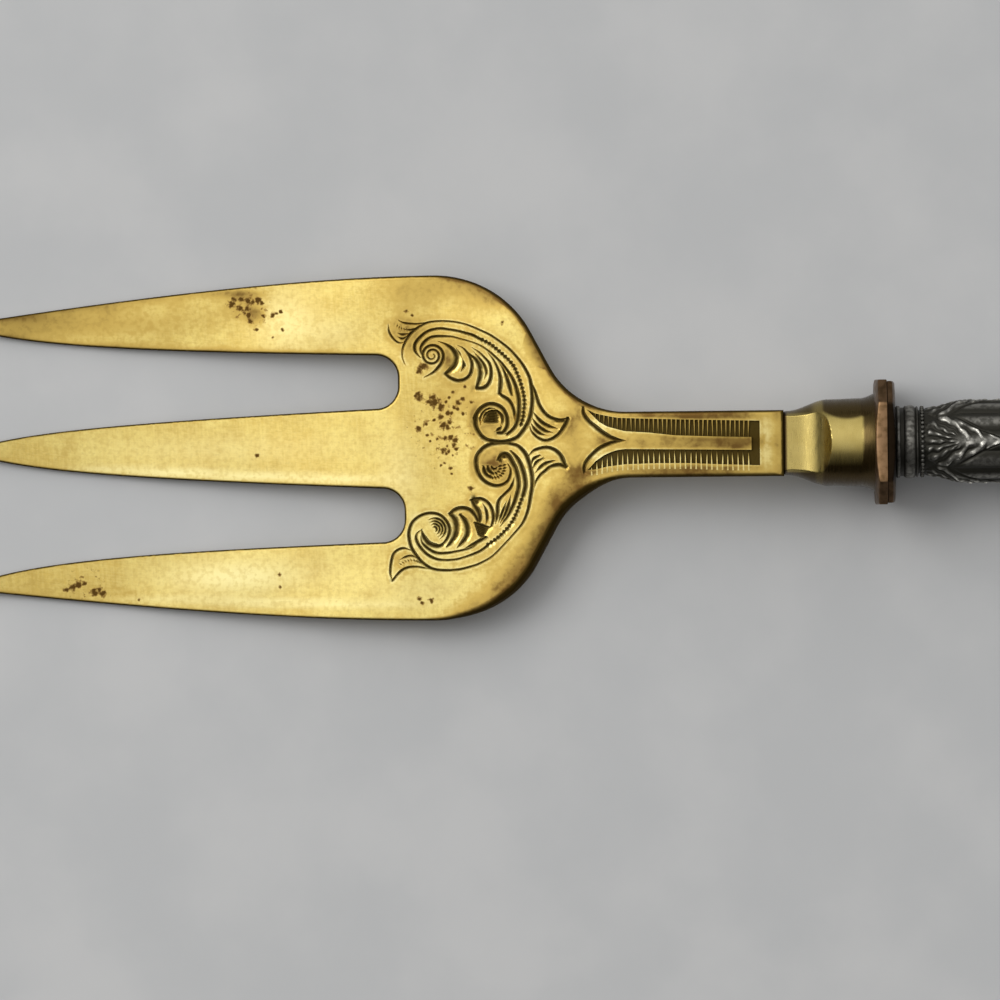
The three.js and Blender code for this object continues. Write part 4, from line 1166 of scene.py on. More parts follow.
def to_line(points, line):
    """Distance from points to a line of straight stretches, and the place along it."""
    a, b = line[:-1], line[1:]
    way = b - a
    square = np.maximum(np.einsum("ij,ij->i", way, way), NO_LENGTH)
    t = np.clip(np.einsum("pij,ij->pi", points[:, None] - a, way) / square, 0, 1)
    gap = np.linalg.norm(points[:, None] - (a + way * t[..., None]), axis=2)
    nearest = gap.argmin(axis=1)
    row = np.arange(len(points))
    return gap[row, nearest], nearest + t[row, nearest]


def inside(points, loop):
    """Which points lie inside a closed loop."""
    (x, y), a, b = points.T, loop, np.roll(loop, -1, axis=0)
    crosses = (a[:, 1] > y[:, None]) != (b[:, 1] > y[:, None])
    with np.errstate(divide="ignore", invalid="ignore"):
        at = a[:, 0] + (y[:, None] - a[:, 1]) / (b[:, 1] - a[:, 1]) * (b[:, 0] - a[:, 0])
    return (crosses & (x[:, None] < at)).sum(axis=1) % 2 == 1


def near(points, line, margin):
    """Indices of the points in a line's own box, with a margin."""
    low, high = line.min(axis=0) - margin, line.max(axis=0) + margin
    return np.flatnonzero(((points > low) & (points < high)).all(axis=1))


def cut_depth(points):
    """How deep the cuts and the sunk rows go at each point."""
    depth = np.zeros(len(points))
    for line, half in CUTS:
        some = near(points, line, half.max())
        if len(some):
            gap, along = to_line(points[some], line)
            width = np.interp(along, np.arange(len(half)), half)
            middle = np.minimum(CUT_SLOPE * width, DEEPEST_CUT)
            depth[some] = np.maximum(depth[some], middle * (1 - gap / width))
    for loop in SUNK_LOOPS:
        some = near(points, loop, 0.0)
        some = some[inside(points[some], loop)]
        gap, _ = to_line(points[some], closed(loop))
        depth[some] = np.maximum(depth[some], COMB_DEPTH * np.clip(gap / COMB_WALL, 0, 1))
    return depth


def cut_gap(points):
    """How far each point lies from the edge of the nearest cut or sunk row."""
    gap = np.full(len(points), FAR_AWAY)
    walls = [(closed(loop), np.zeros(len(loop) + 1)) for loop in SUNK_LOOPS]
    for line, half in CUTS + walls:
        some = near(points, line, ENGRAVED_REACH)
        if len(some):
            away, along = to_line(points[some], line)
            gap[some] = np.minimum(gap[some], away - np.interp(along, np.arange(len(half)), half))
    return gap


print("deepest graver cut", DEEPEST_CUT, "mm, comb rows", COMB_DEPTH, "mm")

# %% [markdown]
# ## The blade
# The edges were filed round. Rings of the outline step inwards over the rounding, above and below, and
# between the two innermost rings the faces are filled. A constrained triangulation does that best here: it
# keeps each cut's middle and both its edges as lines of the mesh, so a V stays a crisp V, and it needs fine
# triangles only where the engraving is.

# %% Blade mesh
EDGE_STEPS = 5
FILL_STEP = 0.9
FINE_STEP = 0.4
LINE_CLEARANCE = 0.3  # as a share of the step
BORDER_ROWS = (0.2, 0.5, 0.9, 1.4)  # rows of points beside the edge keep its shading even
BORDER_CLEARANCE = 0.3
BORDER_ROOM = 0.97  # a row's point stays where the edge is at least this share of its distance away
ROLL_ROUNDING = 0.75  # how much rounder an edge gets for each millimetre that it is rolled over
UNDER_ROUND = 0.45
INSIDE_ONLY = 1  # the triangulation's output type for faces inside the loop
MERGE_DISTANCE = 1e-5
TINE_ROUND = 0.28
LOWER_SHOULDER_ROUND = 0.5
UPPER_SHOULDER_ROUND = 0.2


def edge_round(x, y):
    """Radius of the filed edge: small on the tines and at the neck's end, broad on the shoulders."""
    palm = 0.1 * eased(x, -100, -82)
    neck = 0.25 * eased(x, -52, -44) - 0.35 * eased(x, -18.6, -17)
    shoulder = np.where(y < 0, LOWER_SHOULDER_ROUND, UPPER_SHOULDER_ROUND) * on_shoulder(x)
    return TINE_ROUND + palm + neck + shoulder


def bordering(loop, distances):
    """Rows of points along the inside of a loop, wherever there is room for them."""
    rows = []
    for distance in distances:
        row = inset(loop, distance)
        row = row[inside(row, loop)]
        rows.append(row[to_line(row, closed(loop))[0] > BORDER_ROOM * distance])
    return np.vstack(rows)


def filler(loop, step, lines, around):
    """Points of an even triangle pattern inside a loop and a box, clear of the edge and the lines."""
    low, high = around.min(axis=0) - ENGRAVED_REACH, around.max(axis=0) + ENGRAVED_REACH
    rows = np.arange(low[1], high[1], step * math.sqrt(0.75))
    columns = np.arange(low[0], high[0], step)
    grid = np.array([(x + (k % 2) * step / 2, y) for k, y in enumerate(rows) for x in columns])
    keep = inside(grid, loop)
    margins = [(closed(loop), BORDER_ROWS[-1] + BORDER_CLEARANCE)]
    margins += [(line, LINE_CLEARANCE * step) for line in lines]
    for line, margin in margins:
        some = near(grid, line, margin)
        some = some[keep[some]]
        if len(some):
            gap, _ = to_line(grid[some], line)
            keep[some[gap < margin]] = False
    return grid[keep]


def fill_loop(loop, lines, step):
    """Triangles inside a loop that keep the lines; the loop's own points come first."""
    points = [*loop]
    edges = []
    for line in lines:
        edges += [(len(points) + i, len(points) + i + 1) for i in range(len(line) - 1)]
        points += [*line]
    points += [*bordering(loop, BORDER_ROWS)]
    plain = filler(loop, step, lines, loop)
    if lines:
        fine = filler(loop, FINE_STEP, lines, np.vstack(lines))
        plain = np.vstack([plain[cut_gap(plain) > ENGRAVED_REACH], fine[cut_gap(fine) < ENGRAVED_REACH]])
    points += [*plain]
    boundary = [list(range(len(loop)))]
    made = delaunay_2d_cdt([Vector(p) for p in points], edges, boundary, INSIDE_ONLY, MERGE_DISTANCE)
    at, triangles, sources = np.array(made[0]), made[2], made[3]
    order = {source: i for i, many in enumerate(sources) for source in many}
    border = [order[i] for i in range(len(loop))]
    return at, triangles, border


def cut_lines():
    """Middle and edges of every cut, and the walls of the sunk rows."""
    lines = []
    for line, half in CUTS:
        ahead = np.gradient(line, axis=0)
        ahead /= np.linalg.norm(ahead, axis=1)[:, None]
        side = np.column_stack([-ahead[:, 1], ahead[:, 0]]) * half[:, None]
        lines += [line, line + side, line - side]
    for loop in SUNK_LOOPS:
        for ring in (loop, inset(loop, COMB_WALL)):
            lines.append(closed(ring))
    return lines


radius = edge_round(*OUTLINE.T) + ROLL_ROUNDING * shoulder_roll(*OUTLINE.T)
under_radius = np.minimum(radius, UNDER_ROUND)
angles = np.linspace(math.pi / 2, 0, EDGE_STEPS)
rings = [inset(OUTLINE, radius * (1 - math.cos(a))) for a in angles]
top, top_faces, top_border = fill_loop(rings[0], cut_lines(), FILL_STEP)
bottom, bottom_faces, bottom_border = fill_loop(rings[0], [], 2 * FILL_STEP)
depth = cut_depth(top)
print("upper face", len(top), "points,", len(top_faces), "triangles")

# %% [markdown]
# ### One closed blade
# The filled faces and the rings of the rounding are joined to one closed skin: the upper face, the rings
# down over the edge, the rings in under it and the lower face. The tang was forged on the blade's end and
# is hidden in the handle, so a plain tapering bar is enough for it.

# %% Blade assembly
TANG = (3.0, 2.0)  # half width and half thickness
TANG_SPAN = (-18.8, 63.7)
TANG_TAPER = (1.5, 1.0)

layers = [
    np.column_stack([top, upper_face(*top.T) - depth]),
    np.column_stack([bottom, underside(bottom[:, 0])])]
faces = [tuple(face) for face in top_faces]
faces += [tuple(len(top) + i for i in reversed(face)) for face in bottom_faces]
over_edge = [np.column_stack([ring, upper_face(*ring.T) - radius * (1 - math.sin(a))])
             for ring, a in zip(rings[1:], angles[1:])]
under_edge = [np.column_stack([ring, underside(ring[:, 0]) + under_radius * (1 - math.sin(a))])
              for ring, a in zip(rings[:0:-1], angles[:0:-1])]
hoops = [np.array(top_border)]
count = len(top) + len(bottom)
for ring in over_edge + under_edge:
    layers.append(ring)
    hoops.append(count + np.arange(len(ring)))
    count += len(ring)
hoops.append(len(top) + np.array(bottom_border))
for over, under in zip(hoops, hoops[1:]):
    faces += list(zip(over, under, np.roll(under, -1), np.roll(over, -1)))
tang = [(x, sy * (TANG[0] - n * TANG_TAPER[0]), AXIS_HEIGHT + sz * (TANG[1] - n * TANG_TAPER[1]))
        for n, x in enumerate(TANG_SPAN) for sy, sz in ((1, -1), (1, 1), (-1, 1), (-1, -1))]
layers.append(np.array(tang))
faces += [tuple(count + i for i in face) for face in
          ((0, 1, 2, 3), (7, 6, 5, 4), (0, 4, 5, 1), (1, 5, 6, 2), (2, 6, 7, 3), (3, 7, 4, 0))]
blade_points = np.vstack(layers)
print("blade", len(blade_points), "points,", len(faces), "faces")

# %% [markdown]
# ### Where the blade has browned, and its painted shade and highlights
# Fingers and cloths keep the middle of a surface bright. The brass stays brown towards the tips, on the neck
# and a little along the edges. Painted shade darkens the shoulders, most of all along the rolled lower edge,
# and parts of the scrolls; painted highlights lie pale along the lower edges of the tines and beside the
# cuts.
# Each point carries how far it has turned, how much painted shade it has, and how pale it is.

# %% Blade browning
# Patches of browning, and patches of painted shade over the shoulders and inside the scrolls' lobes.
BROWNED_AND_SHADED = (  # photo pixels of the middle, reach across and down in pixels, how far it has turned
    (0, 327, 50, 22, 0.4), (70, 326, 70, 16, 0.4), (140, 322, 60, 18, 0.3), (205, 318, 40, 18, 0.2),
    (30, 317, 40, 6, 0.35), (95, 307, 40, 6, 0.4), (155, 300, 40, 6, 0.35), (215, 294, 40, 5, 0.35),
    (120, 346, 60, 5, 0.35), (220, 350, 60, 5, 0.35), (310, 352, 50, 4, 0.3), (243, 306, 20, 14, 0.45),
    (256, 315, 9, 11, 0.7), (250, 294, 28, 4, 0.45), (440, 287, 55, 16, 0.45), (485, 298, 22, 14, 0.4),
    (400, 305, 45, 34, 0.2), (425, 335, 25, 22, 0.2), (449, 361, 6, 10, 0.5), (465, 392, 34, 24, 0.32),
    (446, 428, 26, 44, 0.22), (560, 490, 26, 20, 0.2), (552, 512, 24, 26, 0.2), (577, 466, 14, 18, 0.22),
    (577, 414, 14, 16, 0.35), (577, 440, 18, 26, 0.47), (550, 385, 16, 24, 0.3), (500, 578, 28, 18, 0.3),
    (515, 558, 20, 18, 0.25), (604, 441, 11, 8, 0.7), (640, 441, 26, 8, 0.55), (692, 442, 34, 8, 0.75),
    (740, 442, 26, 8, 1.0), (640, 414, 40, 5, 0.5), (712, 415, 54, 6, 1.0), (680, 471, 84, 7, 1.0),
    (20, 590, 44, 14, 0.3), (115, 593, 34, 8, 0.35), (60, 450, 34, 16, 0.12), (778, 442, 5, 34, 0.5),
    (590, 474, 16, 6, 0.1), (491, 421, 18, 18, 0.5), (494, 466, 18, 20, 0.72), (473, 522, 28, 26, 0.43),
    (516, 398, 14, 40, 0.4), (514, 490, 14, 40, 0.25), (548, 426, 18, 16, 0.38), (548, 460, 16, 14, 0.15),
    (460, 345, 50, 22, 0.32), (405, 332, 18, 14, 0.4), (475, 419, 5, 13, 0.5), (474, 466, 5, 18, 0.3),
    (405, 561, 16, 13, 0.4),
)
# Places kept pale by rubbing, and painted highlights along the lower edges of the middle and lower tines.
RUBBED_AND_HIGHLIT = (  # the same, for places that cloths and fingers keep pale
    (286, 322, 30, 32, 0.5), (335, 332, 34, 16, 0.3), (230, 578, 60, 14, 0.6), (250, 572, 95, 22, 0.25),
    (110, 469, 36, 4, 0.5), (175, 472.5, 46, 4.5, 0.75), (255, 476, 50, 4.5, 0.7), (335, 479, 50, 4.5, 0.6),
    (400, 478, 20, 36, 0.35), (180, 599, 60, 4, 0.4), (270, 603, 70, 4.5, 0.6), (360, 605, 60, 4, 0.4),
    (606, 423, 12, 5, 0.6), (603, 459, 12, 6, 0.6), (766, 442, 5, 24, 0.55), (220, 450, 120, 16, 0.25),
    (420, 590, 60, 16, 0.2),
)

# bands of painted shade along a shoulder: how dark it is, and from which to which distance from the edge
# this comes in
LOWER_SHOULDER_SHADE_BANDS = ((0.4, 4.8, 2.0), (0.22, 2.8, 1.5), (0.35, 1.5, 0.1))
UPPER_SHOULDER_SHADE_BANDS = ((0.28, 2.8, 0.8), (0.7, 0.9, 0.35))
FULL_DIRT = 0.235  # a cut this deep is full of dirt
UNCUT = 0.02  # a point less deep than this counts as uncut
MEASURED_AT_ONCE = 2000

x, y = blade_points[:, 0], blade_points[:, 1]
edge_gap = np.full(len(blade_points), FAR_AWAY)
for start in range(0, len(blade_points), MEASURED_AT_ONCE):
    some = slice(start, start + MEASURED_AT_ONCE)
    edge_gap[some], _ = to_line(blade_points[some, :2], closed(OUTLINE))


def patches(spots):
    """The sum of soft patches given in photo pixels."""
    total = np.zeros(len(blade_points))
    for across, down, wide, high, amount in spots:
        middle = on_fork([(across, down)])[0]
        far = ((x - middle[0]) * PIXELS_PER_MM / wide) ** 2 + ((y - middle[1]) * PIXELS_PER_MM / high) ** 2
        total += amount * np.exp(-far)
    return total


def banded(bands):
    """The sum of bands along the edge."""
    return sum(amount * eased(roll_gap, start, end) for amount, start, end in bands)


shoulder = on_shoulder(x)
roll_gap = edge_gap - shoulder_roll(x, y)  # distance from where the roll starts, negative on the roll
# Browning and painted shade from the patches, and a brown band along every edge.
brown = patches(BROWNED_AND_SHADED) + 0.25 * eased(roll_gap, 1.0, 0.1)
# Painted shade over the shoulders, darkest on the rolled lower edge, where it stands for the shadow under
# the palm.
brown += shoulder * np.where(y < 0, banded(LOWER_SHOULDER_SHADE_BANDS), banded(UPPER_SHOULDER_SHADE_BANDS))
# Painted shade: a dark line over the rounded edge of the whole outline, a little wider on the shoulders.
dark_rim = 0.2 + 0.9 * np.minimum(edge_round(x, y), 0.4)
hollow = 0.8 * eased(roll_gap, dark_rim, 0.1) + 0.2 * shoulder * eased(roll_gap, 0.45, 0.1)
# Painted shade: the end of the neck, where it meets the bolster, is darkened.
hollow = np.maximum(hollow, 0.9 * eased(x, -17.4, -17.1) * (x < NECK_END + 0.01))
rubbed = patches(RUBBED_AND_HIGHLIT)
gap = cut_gap(top)
hollow[:len(top)] = np.maximum(hollow[:len(top)], np.clip(depth / FULL_DIRT, 0, 1))
brown[:len(top)] += 0.2 * eased(gap, 1.1, 0.35) * eased(gap, 0.05, 0.3)
# Painted highlight: a pale line along both sides of each cut.
rubbed[:len(top)] += 0.4 * eased(gap, 0.3, 0.05) * (depth < UNCUT)
blade = make_mesh("engraved_blade", blade_points, faces, crease=24,
                  brown=np.clip(brown, 0, 1), hollow=hollow, rubbed=np.clip(rubbed, 0, 1))
dress(blade, blade_brass, "blade_brass", "fork_blade")

# %% [markdown]
# ### The comb's teeth
# Some forty teeth stand in each row, tall at the outer wall and falling towards the bar, like the marks of
# a narrow chisel. The upper ones stop at the wall; the lower ones run out over the rim as fine ridges. They
# repeat along a path, which is what Geometry Nodes are for. The path is a line of points along each row's
# outer wall, each carrying how far its tooth reaches; a tree will space points evenly along it and set a
# wedge on each.

# %% Tooth paths
ROW_ENDS = (592.0, 749.0)  # photo pixels
PATH_POINTS = 60
RIM_RUN_OUT = 0.95
RIDGE_LIFT = 0.05


def row_path(name, edge, bar, run_out, lift):
    """A line along a row's outer wall that carries each tooth's reach towards the bar."""
    across = np.linspace(*ROW_ENDS, PATH_POINTS)
    edge_line, bar_line = np.array(sorted(edge)), np.array(sorted(bar))
    outer = np.interp(across, edge_line[:, 0], edge_line[:, 1])
    inner = np.interp(across, bar_line[:, 0], bar_line[:, 1])
    start = on_fork(np.column_stack([across, outer])) - (0, run_out)
    height = upper_face(*start.T) + lift
    line = bpy.data.meshes.new(name)
    stretches = [(i, i + 1) for i in range(PATH_POINTS - 1)]
    line.from_pydata((np.column_stack([start, height]) * MM).tolist(), stretches, [])
    carry(line, reach=(np.abs(outer - inner) / PIXELS_PER_MM + run_out) * MM)
    return in_scene(name, line)


upper_teeth = row_path(
    "upper_comb_teeth", UPPER_ROW_EDGE, UPPER_ROW_BAR + UPPER_ROW_EDGE[:1], run_out=0.0, lift=0.0)
lower_teeth = row_path(
    "lower_comb_teeth", LOWER_ROW_EDGE + LOWER_ROW_BAR[:1], LOWER_ROW_BAR,
    run_out=RIM_RUN_OUT, lift=RIDGE_LIFT)
print("tooth paths of", len(upper_teeth.data.vertices), "points each")

# %% [markdown]
# ### Running a tree of Geometry Nodes
# Three pieces grow from such trees, so helpers start a tree with named inputs, end it in real geometry, and
# run it. The inputs are set before the tree runs, and the result is kept as a plain mesh, so nothing is
# left to be worked out later and the finish can read values at its points like those of every other piece.

# %% Geometry node helpers


def new_geometry_tree(name, sizes):
    """A geometry tree with named size inputs, a material input and a geometry output."""
    tree = bpy.data.node_groups.new(name, "GeometryNodeTree")
    tree.interface.new_socket("Geometry", in_out="INPUT", socket_type="NodeSocketGeometry")
    for label, kind in sizes.items():
        tree.interface.new_socket(label, in_out="INPUT", socket_type=kind)
    tree.interface.new_socket("Finish", in_out="INPUT", socket_type="NodeSocketMaterial")
    tree.interface.new_socket("Geometry", in_out="OUTPUT", socket_type="NodeSocketGeometry")
    return tree, tree.nodes.new("NodeGroupInput").outputs


def close_geometry_tree(tree, instances, finish):
    """Ends a tree in real geometry with its finish set."""
    real = add_node(tree, "GeometryNodeRealizeInstances", {"Geometry": instances})
    dressed = add_node(tree, "GeometryNodeSetMaterial", {"Geometry": real.outputs[0], "Material": finish})
    tree.links.new(dressed.outputs[0], tree.nodes.new("NodeGroupOutput").inputs[0])


def grow(piece, tree, values):
    """Runs a tree on a piece with its inputs set and keeps the result as a plain mesh."""
    modifier = piece.modifiers.new(tree.name, "NODES")
    modifier.node_group = tree
    for item in tree.interface.items_tree:
        if item.in_out == "INPUT" and item.name in values:
            modifier[item.identifier] = values[item.name]
    evaluated = piece.evaluated_get(bpy.context.evaluated_depsgraph_get())
    grown = bpy.data.meshes.new_from_object(evaluated)
    piece.modifiers.clear()
    piece.data = grown


print("geometry node helpers ready")

# %% [markdown]
# ### One tree for both rows
# A wedge starts as a cube of unit length. It narrows towards the bar, its upper edge is pinched, and it
# falls as it goes. The instance takes its length from the path. One tree serves both rows: the half turn
# that points a row at the bar and the amounts of narrowing and falling are inputs.

# %% Comb teeth
UPPER_EDGE_PINCH = -0.55
FALL_CURVE = 1.2
TOOTH_PARTS = 6
SLANT_SEED = 7
TOOTH_DIRT = 0.42  # a tooth is dark this far below the face
TOOTH_INPUTS = (
    "Pitch", "Tooth Width", "Tooth Height", "Narrowing", "Level Part", "Fall", "Turn", "Unevenness")

tree, entry = new_geometry_tree("comb_teeth", dict.fromkeys(TOOTH_INPUTS, "NodeSocketFloat"))
row = add_node(tree, "GeometryNodeMeshToCurve", {"Mesh": entry["Geometry"]})
spaced = add_node(tree, "GeometryNodeResampleCurve", {"Curve": row.outputs[0], "Length": entry["Pitch"]},
                  mode="LENGTH")
size = add_node(tree, "ShaderNodeCombineXYZ", {
    "X": entry["Tooth Width"], "Y": 1.0, "Z": entry["Tooth Height"]})
block = add_node(tree, "GeometryNodeMeshCube", {"Size": size.outputs[0], "Vertices Y": TOOTH_PARTS})
position = add_node(tree, "GeometryNodeInputPosition").outputs[0]
spot_at = add_node(tree, "ShaderNodeSeparateXYZ", {0: position})
to_bar = counted(tree, "SUBTRACT", 0.5, spot_at.outputs["Y"])
narrowed = counted(tree, "MULTIPLY", to_bar, entry["Narrowing"])
narrower = counted(tree, "MULTIPLY", narrowed, spot_at.outputs["X"])
aside = add_node(tree, "ShaderNodeCombineXYZ", {"X": counted(tree, "MULTIPLY", narrower, -1.0)})
block = add_node(tree, "GeometryNodeSetPosition", {
    "Geometry": block.outputs["Mesh"], "Offset": aside.outputs[0]})
upper = add_node(tree, "FunctionNodeCompare", {0: spot_at.outputs["Z"], 1: 0.0}, operation="GREATER_THAN")
past_level = counted(tree, "MAXIMUM", counted(tree, "SUBTRACT", to_bar, entry["Level Part"]), 0.0)
lost = counted(tree, "MULTIPLY", counted(tree, "POWER", past_level, FALL_CURVE), entry["Fall"])
lost = counted(tree, "MULTIPLY", lost, counted(tree, "MULTIPLY", entry["Tooth Height"], -1.0))
pinch = counted(tree, "MULTIPLY", spot_at.outputs["X"], UPPER_EDGE_PINCH)
shift = add_node(tree, "ShaderNodeCombineXYZ", {"X": pinch, "Z": lost})
wedge = add_node(tree, "GeometryNodeSetPosition", {
    "Geometry": block.outputs[0], "Selection": upper.outputs[0], "Offset": shift.outputs[0]})
below = counted(tree, "MULTIPLY", entry["Tooth Height"], -0.5)
hung = add_node(tree, "ShaderNodeCombineXYZ", {"Y": -0.5, "Z": below})
wedge = add_node(tree, "GeometryNodeTransform", {
    "Geometry": wedge.outputs[0], "Translation": hung.outputs[0]})
reach_at = add_node(tree, "GeometryNodeInputNamedAttribute", {"Name": "reach"}, data_type="FLOAT")
stretch = add_node(tree, "ShaderNodeCombineXYZ", {"X": 1.0, "Y": reach_at.outputs[0], "Z": 1.0})
slant = add_node(tree, "FunctionNodeRandomValue", {"Seed": SLANT_SEED}, data_type="FLOAT")
slant = counted(tree, "MULTIPLY", counted(tree, "SUBTRACT", slant.outputs[1], 0.5), entry["Unevenness"])
heading = add_node(tree, "ShaderNodeCombineXYZ", {"Z": counted(tree, "ADD", entry["Turn"], slant)})
heading = add_node(tree, "FunctionNodeEulerToRotation", {0: heading.outputs[0]})
teeth = add_node(tree, "GeometryNodeInstanceOnPoints", {
    "Points": spaced.outputs[0], "Instance": wedge.outputs[0],
    "Rotation": heading.outputs[0], "Scale": stretch.outputs[0]})
close_geometry_tree(tree, teeth.outputs[0], entry["Finish"])
grow(upper_teeth, tree, {
    "Pitch": 0.75 * MM, "Tooth Width": 0.44 * MM, "Tooth Height": 0.5 * MM, "Narrowing": 0.4,
    "Level Part": 0.0, "Fall": 0.6, "Turn": 0.0, "Unevenness": 0.08, "Finish": blade_brass})
grow(lower_teeth, tree, {
    "Pitch": 0.87 * MM, "Tooth Width": 0.56 * MM, "Tooth Height": 0.55 * MM, "Narrowing": 0.75,
    "Level Part": 0.3, "Fall": 1.4, "Turn": math.pi, "Unevenness": 0.08, "Finish": blade_brass})
# The lower teeth are paler towards the face, partly from wear and partly as painted highlight.
for piece, browned_by, rubbed_by in ((upper_teeth, 0.45, 0.0), (lower_teeth, 0.2, 0.5)):
    at = points_of(piece)
    sunk_by = np.clip(upper_face(at[:, 0], at[:, 1]) - at[:, 2], 0, COMB_DEPTH)
    carry(piece.data, hollow=np.clip(sunk_by / TOOTH_DIRT - 0.15, 0, 1), brown=np.full(len(at), browned_by),
          rubbed=rubbed_by * eased(sunk_by, 0.3, 0.05))
    dress(piece, blade_brass, "blade_brass")

# %% [markdown]
# ## The bolster
# The bolster starts as a trumpet-shaped body, a little flatter than it is wide by the neck. A pad is filed
# into its upper and lower side there and sweeps up in a hollow, so it ends in a curved edge on the drum.
# Rings round the axis give the body, and each ring is held below the height of the pad; a soft minimum
# leaves a fine bevel along the edge. The drum's top stays bright, and its sides, the pad's sides, the lip at
# the neck and the foot under the collar are darkened with painted shade.

# %% Bolster
BOLSTER_END = -1.7
PAD_TOP = 2.75
PAD_CLIMB = 1.4
SWEEP_RISE = 3.3
DRUM_START = -8.9
FLARE_START = -3.9
LIP = 0.4
PAD_BEVEL = 0.07
RING_POINTS = 256
BODY_RINGS = 120
LIP_RINGS = 5
DRUM_BEGINS = (-10.6, -10.0)  # the pad's sides give way to the drum between these places


def flare(x):
    """How much the body opens under the collar."""
    return 0.8 * np.clip((x - FLARE_START) / (BOLSTER_END - FLARE_START), 0, 1) ** 1.5


def half_width(x):
    """Half width of the body seen from above."""
    return 5.35 + 1.85 * eased(x, -16.2, -9.4) + 0.15 * eased(x, -9.4, FLARE_START) + flare(x)


def half_height(x):
    """Half height of the body before the pads are filed into it."""
    return 5.3 + 2.1 * eased(x, -13.5, -9.0) + flare(x)


def pad_height(x):
    """Height of the filed flat over the axis, sweeping up to the round."""
    t = (x - NECK_END) / (DRUM_START - NECK_END)
    return PAD_TOP + PAD_CLIMB * t + SWEEP_RISE * t ** 5


def soft_lower(a, b, softness):
    """The lower of two values, rounded where they cross."""
    h = np.clip(0.5 + 0.5 * (b - a) / softness, 0, 1)
    return b * (1 - h) + a * h - softness * h * (1 - h)


lip_stations = NECK_END + LIP * (1 - np.cos(np.linspace(0.1, math.pi / 2, LIP_RINGS + 1)))[:-1]
stations = np.concatenate([lip_stations, np.linspace(NECK_END + LIP, BOLSTER_END, BODY_RINGS)])
turn = full_turn(RING_POINTS)
rows = []
for x in stations:
    before_lip = max(0.0, 1 - (x - NECK_END) / LIP)
    lip = LIP * (1 - math.sqrt(1 - before_lip ** 2))
    across, up = (half_width(x) - lip) * np.cos(turn), (half_height(x) - lip) * np.sin(turn)
    up = np.sign(up) * soft_lower(np.abs(up), pad_height(x) - lip, PAD_BEVEL)
    rows.append(np.column_stack([np.full(RING_POINTS, x), across, AXIS_HEIGHT + up]))
bolster_points = np.vstack(rows)
bolster_faces = grid_faces(len(stations), RING_POINTS, closed=True)
last = len(bolster_points) - RING_POINTS
bolster_faces += [tuple(range(RING_POINTS))[::-1], tuple(range(last, last + RING_POINTS))]
along, aside = bolster_points[:, 0], bolster_points[:, 1]
on_drum = eased(along, *DRUM_BEGINS)
# Painted shade: the drum's sides darken beyond a curved line above and in two steps below, and the pad's
# sides darken towards their edges.
upper_bound = 3.85 + 0.075 * (along + 6.2) ** 2
drum_brown = 0.85 * eased(aside, upper_bound - 0.25, upper_bound + 0.4)
drum_brown += 0.35 * eased(-aside, 1.0, 2.4) + 0.55 * eased(-aside, 2.4, 4.2)
side_brown = 0.28 * eased(along, -11.2, -12.6) + 0.5 * eased(aside, 4.5, 5.2) + 0.8 * eased(-aside, 4.6, 5.2)
brown = 0.12 + on_drum * drum_brown + (1 - on_drum) * side_brown
# Painted shade under the collar and on the lip at the neck's end.
shade_under_collar = 0.85 * eased(along, FLARE_START - 0.1, FLARE_START + 0.6)
shade_on_lip = eased(along, NECK_END + 0.6, NECK_END + 0.3)
brown += shade_under_collar + shade_on_lip
bolster = make_mesh("bolster_body", bolster_points, bolster_faces, crease=40, brown=np.clip(brown, 0, 1))
dress(bolster, bolster_brass, "bolster_brass", "bolster")

# %% [markdown]
# ## The collar
# The collar is a thick square plate with cut corners. Its front edge is turned off like a nut's, so each
# flat of the rim has an arched front edge. A thinner plate, almost black, lies behind it. Around each
# direction from the axis the profile is the same, and only the rim's distance follows the square.

# %% Collar
COLLAR_HALF = 10.4
CORNER_CUT = 3.8
COLLAR_FRONT = -1.7
COLLAR_BACK = 1.7
TURNED_FROM = 9.9
TURNED_FALL = 0.6
BACK_PLATE = 0.35
BACK_PLATE_STEP = 0.3
BACK_FALL = 0.45
COLLAR_HOLE = 4.2
RIM_SOFTENING = 0.16
CORNER_SOFTENING = 0.12
FACE_RING = 6.5
RIM_POINTS = 288
RIM_CORNER = math.hypot(COLLAR_HALF, COLLAR_HALF - CORNER_CUT)


def rim_distance(angle):
    """Distance from the axis to the square rim with its cut corners."""
    flat = np.maximum(np.abs(np.cos(angle)), np.abs(np.sin(angle)))
    slant = (np.abs(np.cos(angle)) + np.abs(np.sin(angle))) / math.sqrt(2)
    corner = (2 * COLLAR_HALF - CORNER_CUT) / math.sqrt(2)
    return soft_lower(COLLAR_HALF / flat, corner / slant, CORNER_SOFTENING)


def turned_off(distance):
    """How much of the turned edge has fallen away at a distance from the axis."""
    return np.clip((distance - TURNED_FROM) / (RIM_CORNER - TURNED_FROM), 0, 1)


